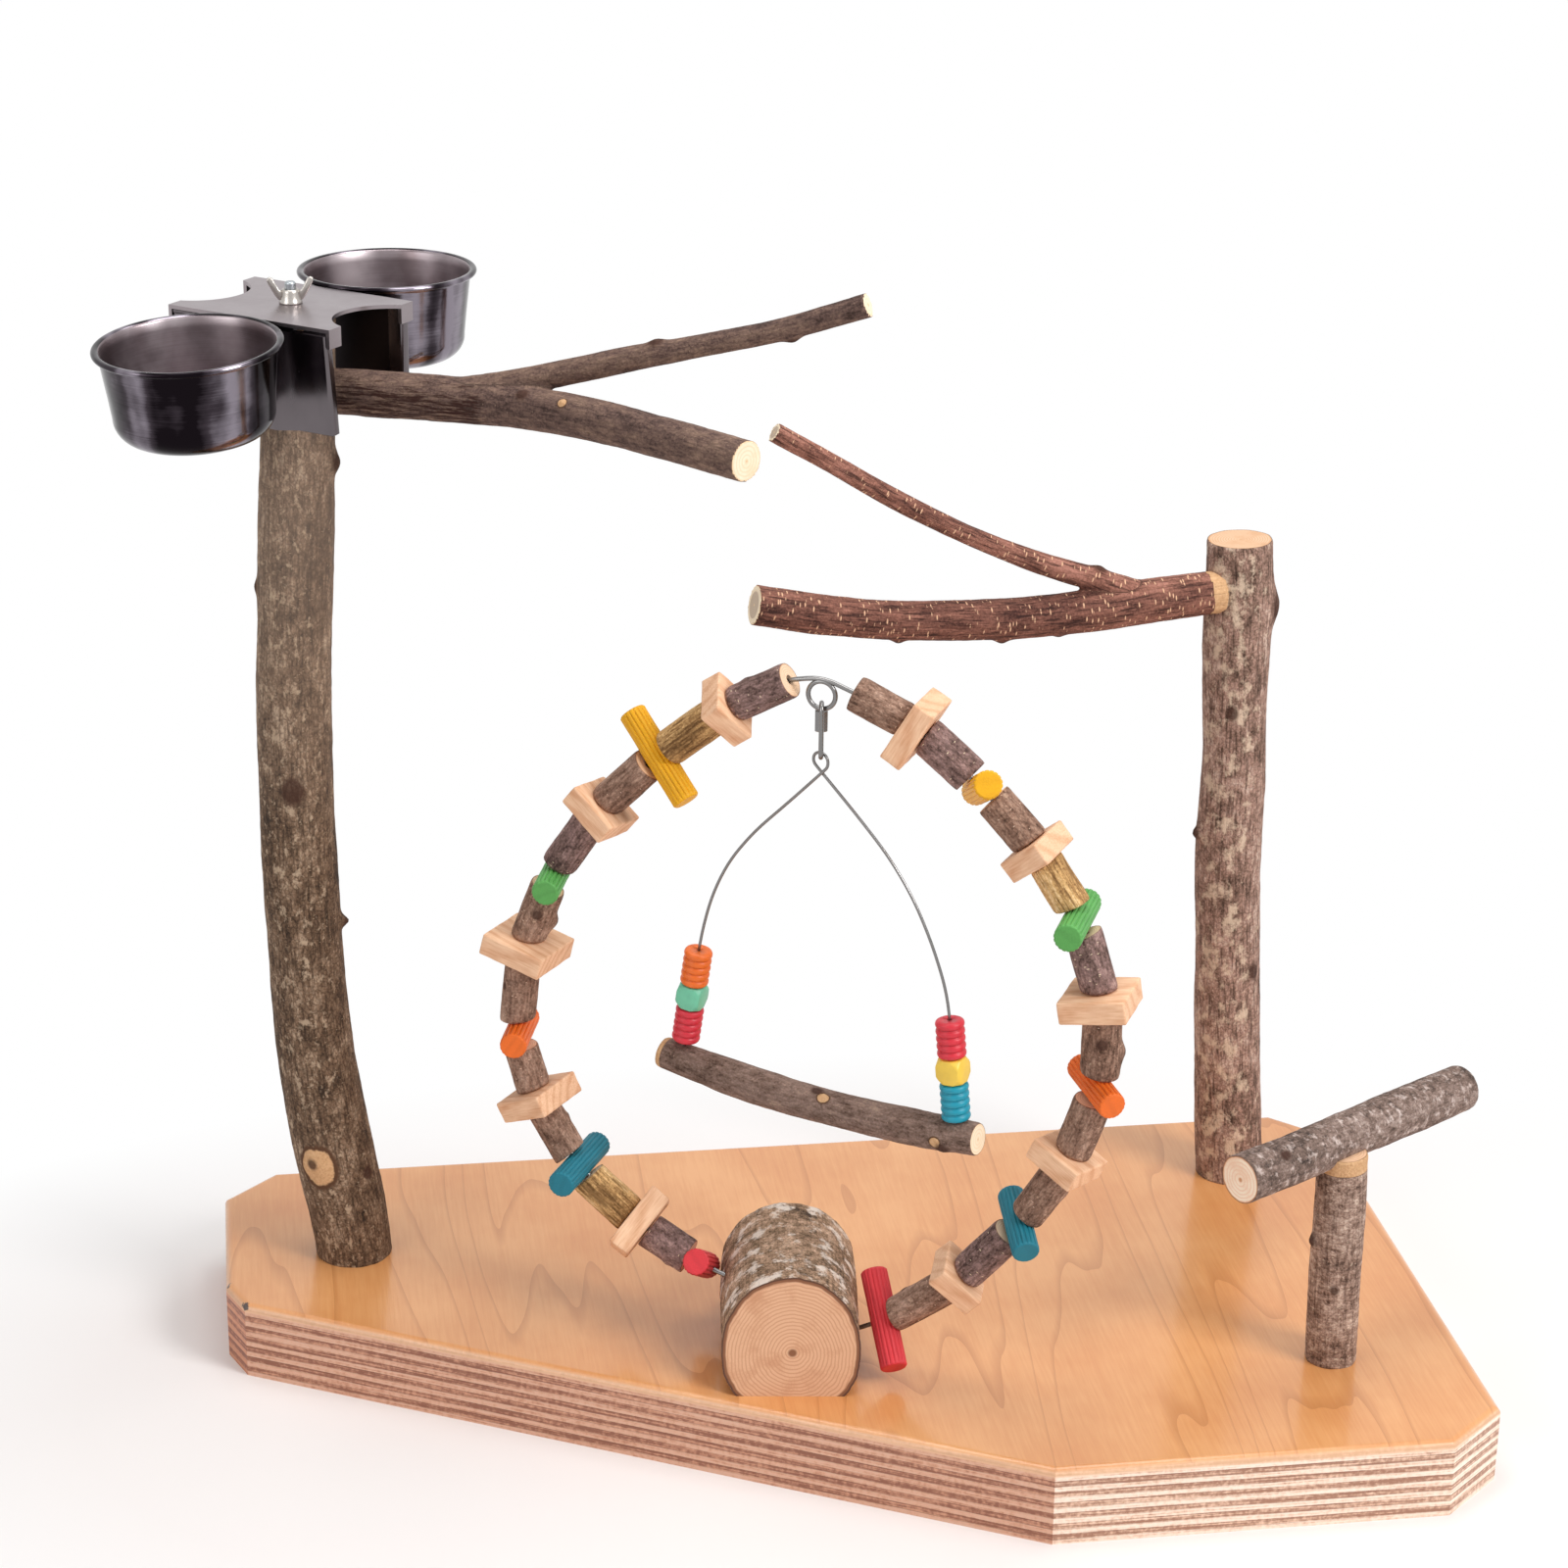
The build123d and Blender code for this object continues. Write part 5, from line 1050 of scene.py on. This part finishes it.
def hoop_side(side, index_of, blocks, dowels, radii, seed):
    """Blocks, dowels and twig beads on one side of the hoop, from the top down."""
    for i in range(5):
        block(f"block_{side}_{i + 1}", index_of(2 * i + 1), *blocks[i], seed + i * 0.31)
        dowel(f"dowel_{side}_{COLOURS[i]}", index_of(2 * i + 2), *dowels[i], COLOURS[i], seed + i * 0.53)
        for k in (1, 2):
            number = 2 * i + k
            stripped = (side, number) in STRIPPED
            bm = twig_bead(index_of, number, radii[number - 1], seed + number * 0.73,
                           (side, number) in KNOTTED, stripped)
            skin = BARE_TWIG if stripped else PLUM_TWIG if (side, number) in PLUM else TWIG_BARK
            nodes = [f"bark_beads_{side}_{i + 1}"] if k == 1 else []
            dress(f"twig_bead_{side}_{number}", bm, [skin, TWIG_END], nodes=nodes)


hoop_side("left", lambda n: len(LEFT_RUN) - 1 - n, LEFT_BLOCKS, LEFT_DOWELS, LEFT_BEAD_R, 11.0)
hoop_side("right", lambda n: len(LEFT_RUN) + 1 + n, RIGHT_BLOCKS, RIGHT_DOWELS, RIGHT_BEAD_R, 17.0)

# ---------------------------------------------------------------- swing
# the swing's own plane, under the hoop's eye: x across it, y upwards
SWING = Matrix.Translation(HOOP @ Vector((HOOP_TOP[0], 0.0, 0.0))) \
    @ Matrix.Rotation(math.radians(-40.0), 4, "Z") @ ACROSS_TO_UP
SWING_PERCH = [(-95.0, 199.2, 8.4), (-73.3, 197.0, 9.0), (-41.2, 194.6, 9.4), (-7.2, 194.0, 9.3),
               (26.2, 194.5, 9.4), (59.0, 196.2, 9.3), (97.0, 199.6, 8.5)]
SWING_KNOTS = [((2.8, 203.5, 3.0), 4.0, 1.3, "bud"), ((81.0, 194.0, 8.0), 4.5, 2.0, "bud"),
               ((8.0, 204.0, 7.5), 4.4, 0.5, "scar"), ((77.0, 196.5, 9.0), 4.2, 0.6, "scar")]
# top and foot of the straight stretch of each leg
LEFT_LEG = ((-71.2, 274.0), (-83.2, 196.0))
RIGHT_LEG = ((77.0, 275.0), (85.6, 193.0))
RIDGED_LENGTH, RIDGED_RADIUS, RIDGES, RIDGE_RISE, RIDGED_BORE = 20.0, 7.6, 5, 1.5, 1.5
CUBE_SIDE, CUBE_CORNER, CUBE_EASING = 13.6, 4.2, 0.9
BEAD_GAP = 0.5

straight_perch("swing_perch", [(*(SWING @ Vector((p, z, 0.0))), r) for p, z, r in SWING_PERCH],
               [(*(SWING @ Vector(place)), *knot) for place, *knot in SWING_KNOTS], 8.0,
               [SWING_BARK, PALE_END], body="swing", step=1.1, relief=(0.7, 0.3, 0.15), bare_start=3.0)


def leg_matrix(leg, along):
    """Placing matrix of a bead: z up the swing's leg, origin this far above the leg's foot."""
    top, foot = (Vector((*p, 0.0)) for p in leg)
    up = (top - foot).normalized()
    side = Vector((0, 0, 1))
    axes = Matrix((side, up.cross(side), up)).transposed().to_4x4()
    return METRES @ SWING @ Matrix.Translation(foot + up * along) @ axes


def ridged_bead(name, leg, along, colour):
    """Turned bead with five rounded ridges."""
    half, valley, pitch = RIDGED_LENGTH / 2, RIDGED_RADIUS - RIDGE_RISE, RIDGED_LENGTH / RIDGES
    profile = [(RIDGED_BORE, -half)]
    for i in range(RIDGES):
        for t in [k / 9 for k in range(9)]:
            profile.append((valley + RIDGE_RISE * abs(math.sin(math.pi * t)) ** 0.45, (i + t) * pitch - half))
    profile += [(valley, half), (RIDGED_BORE, half)]
    bm = lathe(profile, 48, True, 1e-4)
    bm.transform(leg_matrix(leg, along))
    dress(name + "_turned", bm, [LACQUER[colour]], body=name, nodes=[name])


def cube_bead(name, leg, along, colour, turn):
    """Cube bead with its edges and corners ground away."""
    bm = bmesh.new()
    bmesh.ops.create_cube(bm, size=CUBE_SIDE)
    bmesh.ops.bevel(bm, geom=bm.verts[:], offset=CUBE_CORNER, segments=1, profile=0.5, affect="VERTICES",
                    material=-1)
    bmesh.ops.bevel(bm, geom=bm.edges[:], offset=CUBE_EASING, segments=3, profile=0.5, affect="EDGES",
                    material=-1)
    bmesh.ops.rotate(bm, verts=bm.verts, cent=(0, 0, 0), matrix=Matrix.Rotation(math.radians(turn), 3, "Z"))
    bm.transform(leg_matrix(leg, along))
    dress(name + "_ground", bm, [LACQUER[colour]], body=name, nodes=[name])


def bead_stack(side, leg, first_height, colours, turn):
    """Three beads up one leg: ridged, cube, ridged."""
    top, foot = (Vector((*p, 0.0)) for p in leg)
    along = (first_height - foot.y) / (top - foot).normalized().y
    for colour, length in zip(colours, (RIDGED_LENGTH, CUBE_SIDE, RIDGED_LENGTH)):
        name = f"swing_bead_{side}_{colour}"
        along += length / 2
        if length == CUBE_SIDE:
            cube_bead(name, leg, along, colour, turn)
        else:
            ridged_bead(name, leg, along, colour)
        along += length / 2 + BEAD_GAP


bead_stack("left", LEFT_LEG, 210.4, ("red", "mint", "orange"), 8.0)
bead_stack("right", RIGHT_LEG, 208.0, ("blue", "yellow", "red"), 0.0)

# ---------------------------------------------------------------- bowls, nut and steel parts
BRACKET = Matrix.Translation(Vector((-274.8, 91.1, 0.0))) @ Matrix.Rotation(math.radians(-38.1), 4, "Z")
# the front flange leans in at its foot, so the front bowl droops about the bend of the flange
FLANGE_BEND = Vector((0, -34.0, 587.95))
FRONT = Matrix.Translation(FLANGE_BEND) @ Matrix.Rotation(math.radians(4.8), 4, "X") \
    @ Matrix.Translation(-FLANGE_BEND) @ Matrix.Rotation(math.pi, 4, "Z")
BOWL_RIM, BOWL_DEPTH, BOWL_REACH = 593.7, 48.0, 84.3
NUT_BASE, NUT_TURN, NUT_BORE = 592.05, 38.0, 3.05
WING_THICKNESS, WING_EASING = 2.5, 0.65
BOLT_TOP, BOLT_BOTTOM, BOLT_RADIUS, THREAD_PITCH, THREAD_DEPTH = 603.2, 558.05, 3.0, 1.0, 0.38
THREAD_FROM = 588.0


def arc(cx, cz, r, start, end, steps):
    """Points on an arc of the bowl's section, angles in degrees from outwards."""
    angles = [math.radians(start + (end - start) * k / steps) for k in range(steps + 1)]
    return [(cx + r * math.cos(a), cz + r * math.sin(a)) for a in angles]


def bowl(name, node, placing):
    """Spun bowl: slightly flared wall, rounded bottom corner, rim rolled outwards."""
    rim, low = BOWL_RIM, BOWL_RIM - BOWL_DEPTH
    outside = [(0.01, low + 0.4), (12.0, low + 0.3), (25.0, low)] + arc(28.6, low + 12.0, 12.0, -88, 4, 12)
    outside += [(41.8, low + 24.0), (43.1, low + 35.0), (44.2, low + 43.8)]
    rolled = [(44.6, rim - 2.2), (45.1, rim - 2.8)] + arc(46.1, rim - 1.5, 1.5, -110, 90, 12)
    inner = [(45.0, rim - 0.05), (44.0, rim - 0.5), (43.4, rim - 1.6), (43.0, low + 42.0), (42.1, low + 35.0)]
    inner += [(40.8, low + 24.0)] + arc(28.6, low + 12.0, 11.0, 4, -88, 12)
    inner += [(25.0, low + 1.0), (12.0, low + 1.3), (0.01, low + 1.4)]
    bm = lathe(outside + rolled + inner, 144, False, 0.03)
    spun = bm.verts.layers.float_vector.new("spun")
    for v in bm.verts:
        v[spun] = v.co * MM
    bmesh.ops.recalc_face_normals(bm, faces=bm.faces)
    for face in bm.faces:
        middle = face.calc_center_median()
        on_wall = face.normal.x * middle.x + face.normal.y * middle.y < 0 and middle.z < rim - 1.0
        on_floor = face.normal.z > 0.5 and middle.z < rim - 20.0
        face.material_index = 1 if on_wall or on_floor else 0
    bm.transform(METRES @ BRACKET @ placing @ Matrix.Translation(Vector((0, BOWL_REACH, 0))))
    dress(name, bm, [BOWL_STEEL, BOWL_INSIDE], body=node, nodes=[node], sawn_faces=False)


bowl("back_bowl_spun", "back_bowl", Matrix.Identity(4))
bowl("front_bowl_spun", "front_bowl", FRONT)


def wing_nut():
    """Cast wing nut: flared hub and two upswept wings."""
    hub = [(NUT_BORE, 0.0), (5.9, 0.0), (6.1, 0.5), (5.6, 1.4), (5.0, 3.2), (4.7, 5.6), (4.5, 6.8),
           (4.1, 7.3), (NUT_BORE, 7.3)]
    outline = [(3.9, 1.4), (6.2, 1.8), (8.0, 4.2), (10.2, 8.2), (11.8, 11.4), (11.7, 12.9), (10.4, 13.5),
               (8.8, 12.8), (7.2, 9.6), (5.6, 7.0), (3.9, 6.2)]
    bm = lathe(hub, 40, True, 1e-4)
    for side in (-1, 1):
        wing = bmesh.new()
        face = wing.faces.new([wing.verts.new((side * x, -WING_THICKNESS / 2, z)) for x, z in outline])
        rise = bmesh.ops.extrude_face_region(wing, geom=[face])
        moved = [v for v in rise["geom"] if isinstance(v, bmesh.types.BMVert)]
        bmesh.ops.translate(wing, vec=(0, WING_THICKNESS, 0), verts=moved)
        bmesh.ops.recalc_face_normals(wing, faces=wing.faces)
        rims = [e for e in wing.edges if abs(e.verts[0].co.y - e.verts[1].co.y) < 0.1]
        bmesh.ops.bevel(wing, geom=rims, offset=WING_EASING, segments=3, profile=0.5, affect="EDGES",
                        material=-1)
        pour(wing, bm)
    lift = Matrix.Translation(Vector((0, 0, NUT_BASE))) @ Matrix.Rotation(math.radians(NUT_TURN), 4, "Z")
    bm.transform(METRES @ BRACKET @ lift)
    dress("wing_nut_cast", bm, [NUT_STEEL], body="wing_nut", nodes=["wing_nut"])


wing_nut()


def hanger_bolt():
    """Threaded stud: rolled ridges one millimetre apart."""
    profile = [(0.01, BOLT_BOTTOM), (BOLT_RADIUS, BOLT_BOTTOM), (BOLT_RADIUS, THREAD_FROM)]
    z = THREAD_FROM
    while z < BOLT_TOP - 1.2:
        profile += [(BOLT_RADIUS - THREAD_DEPTH, z + THREAD_PITCH / 2), (BOLT_RADIUS, z + THREAD_PITCH)]
        z += THREAD_PITCH
    profile += [(BOLT_RADIUS - 0.6, BOLT_TOP - 0.2), (BOLT_RADIUS - 0.9, BOLT_TOP), (0.01, BOLT_TOP)]
    bm = lathe(profile, 32, False, 0.03)
    bm.transform(METRES @ BRACKET)
    dress("hanger_bolt_threaded", bm, [ZINC], nodes=["hanger_bolt"])


hanger_bolt()

# CAD pieces whose shape is right keep it and get their own finish
for node_name, finish in {"base_board": PLYWOOD, "base_screws": ZINC, "branch_screws": ZINC}.items():
    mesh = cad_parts[node_name].data
    mesh.materials.clear()
    mesh.materials.append(finish)


# edges that turn more than this stay crisp
CRISP_FROM = math.radians(32)


def smooth_copy(node, body, finish):
    """Merged copy of a bent or rounded CAD piece: smooth along its curves, crisp at its edges."""
    bm = bmesh.new()
    bm.from_mesh(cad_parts[node].data)
    bmesh.ops.remove_doubles(bm, verts=bm.verts, dist=1e-6)
    for edge in bm.edges:
        edge.smooth = len(edge.link_faces) == 2 and edge.calc_face_angle() < CRISP_FROM
    dress(node + "_drawn", bm, [finish], body=body, nodes=[node])


for node_name, body_name in {"hoop_wire": "stand", "quick_link": "quick_link", "link_sleeve": "link_sleeve",
                             "swing_wire": "swing"}.items():
    smooth_copy(node_name, body_name, WIRE_STEEL)
smooth_copy("bowl_bracket", "stand", FLANGE_STEEL)
smooth_copy("lock_plate", "lock_plate", PLATE_STEEL)
smooth_copy("back_hook_plate", "back_bowl", HOOK_STEEL)
smooth_copy("front_hook_plate", "front_bowl", HOOK_STEEL)

# ---------------------------------------------------------------- floor, light and camera
WHITE = linear("FFFFFF")


def seen_directly(tree):
    """One for what the camera, a reflection or a clear object shows, nought for light itself."""
    path = add(tree, "LightPath", output=None)
    seen = add(tree, "Math", {0: path.outputs["Is Camera Ray"], 1: path.outputs["Is Glossy Ray"]},
               operation="MAXIMUM")
    return add(tree, "Math", {0: seen, 1: path.outputs["Is Transmission Ray"]}, operation="MAXIMUM")


# half the length and width of the oval in which the floor shows, and where its fade starts and ends
FLOOR_OVAL, FADE_FROM, FADE_TO = (0.33, 0.19), 1.25, 2.1


def studio_floor():
    """Pale table top that fades to white behind the stand and keeps its shadow."""
    bm = bmesh.new()
    bmesh.ops.create_grid(bm, x_segments=1, y_segments=1, size=6.0)
    mesh = bpy.data.meshes.new("floor")
    bm.to_mesh(mesh)
    bm.free()
    floor = bpy.data.objects.new("floor", mesh)
    bpy.context.scene.collection.objects.link(floor)
    material, tree = new_tree("painted_table_pale")
    place = add(tree, "TexCoord", output=3)
    oval = add(tree, "VectorMath", {0: place, 1: (1 / FLOOR_OVAL[0], 1 / FLOOR_OVAL[1], 0.0)},
               operation="MULTIPLY")
    far = add(tree, "VectorMath", {0: oval}, output=1, operation="LENGTH")
    fade = add(tree, "MapRange", {"Value": far, "From Min": FADE_FROM, "From Max": FADE_TO})
    fade = add(tree, "Math", {0: fade, 1: seen_directly(tree)}, operation="MULTIPLY")
    paint = add(tree, "BsdfPrincipled", {"Base Color": linear("EFEAE8"), "Roughness": 0.75})
    white = add(tree, "Emission", {"Color": WHITE, "Strength": 1.0})
    mixed = add(tree, "MixShader", {0: fade, 1: paint, 2: white})
    add(tree, "OutputMaterial", {"Surface": mixed}, output=None)
    mesh.materials.append(material)


studio_floor()


def studio_light(name, place, aim, size, power):
    """Soft rectangular lamp."""
    lamp = bpy.data.lights.new(name, "AREA")
    lamp.shape = "RECTANGLE"
    lamp.size, lamp.size_y = size
    lamp.energy = power
    lamp_object = bpy.data.objects.new(name, lamp)
    lamp_object.location = place
    lamp_object.rotation_euler = (Vector(aim) - Vector(place)).to_track_quat("-Z", "Y").to_euler()
    bpy.context.scene.collection.objects.link(lamp_object)


studio_light("key_right", (1.6, -1.5, 1.9), (0.0, 0.0, 0.25), (1.0, 1.0), 50.0)
studio_light("fill_left", (-1.8, -1.2, 1.3), (0.0, 0.0, 0.25), (1.2, 1.2), 11.0)
studio_light("top", (0.0, 0.2, 2.3), (0.0, 0.0, 0.2), (1.6, 1.2), 26.0)

world = bpy.data.worlds.new("studio")
bpy.context.scene.world = world
world.use_nodes = True
world.node_tree.nodes.clear()
shown = seen_directly(world.node_tree)
glow = add(world.node_tree, "Background", {"Color": WHITE, "Strength": 0.35})
plain = add(world.node_tree, "Background", {"Color": WHITE, "Strength": 1.0})
sky = add(world.node_tree, "MixShader", {0: shown, 1: glow, 2: plain})
add(world.node_tree, "OutputWorld", {"Surface": sky}, output=None)

# camera: metres, and degrees downwards, to the right and rolled
CAMERA_PLACE = Vector((-0.29746, -1.74016, 1.03908))
TILT, YAW, ROLL = (math.radians(v) for v in (21.333, 8.731, 0.709))
SENSOR_MM, FOCAL_MM = 36.0, 83.03
look = Vector((math.sin(YAW) * math.cos(TILT), math.cos(YAW) * math.cos(TILT), -math.sin(TILT)))
level = Vector((math.cos(YAW), -math.sin(YAW), 0.0))
upward = level.cross(look)
right = level * math.cos(ROLL) + upward * math.sin(ROLL)
upward = upward * math.cos(ROLL) - level * math.sin(ROLL)
lens = bpy.data.cameras.new("camera")
lens.sensor_width = SENSOR_MM
lens.lens = FOCAL_MM
lens.clip_end = 20.0
camera = bpy.data.objects.new("camera", lens)
camera.matrix_world = Matrix.Translation(CAMERA_PLACE) @ Matrix(
    (right, upward, -look)).transposed().to_4x4()
bpy.context.scene.collection.objects.link(camera)
bpy.context.scene.camera = camera
bpy.context.scene.view_settings.view_transform = "Standard"
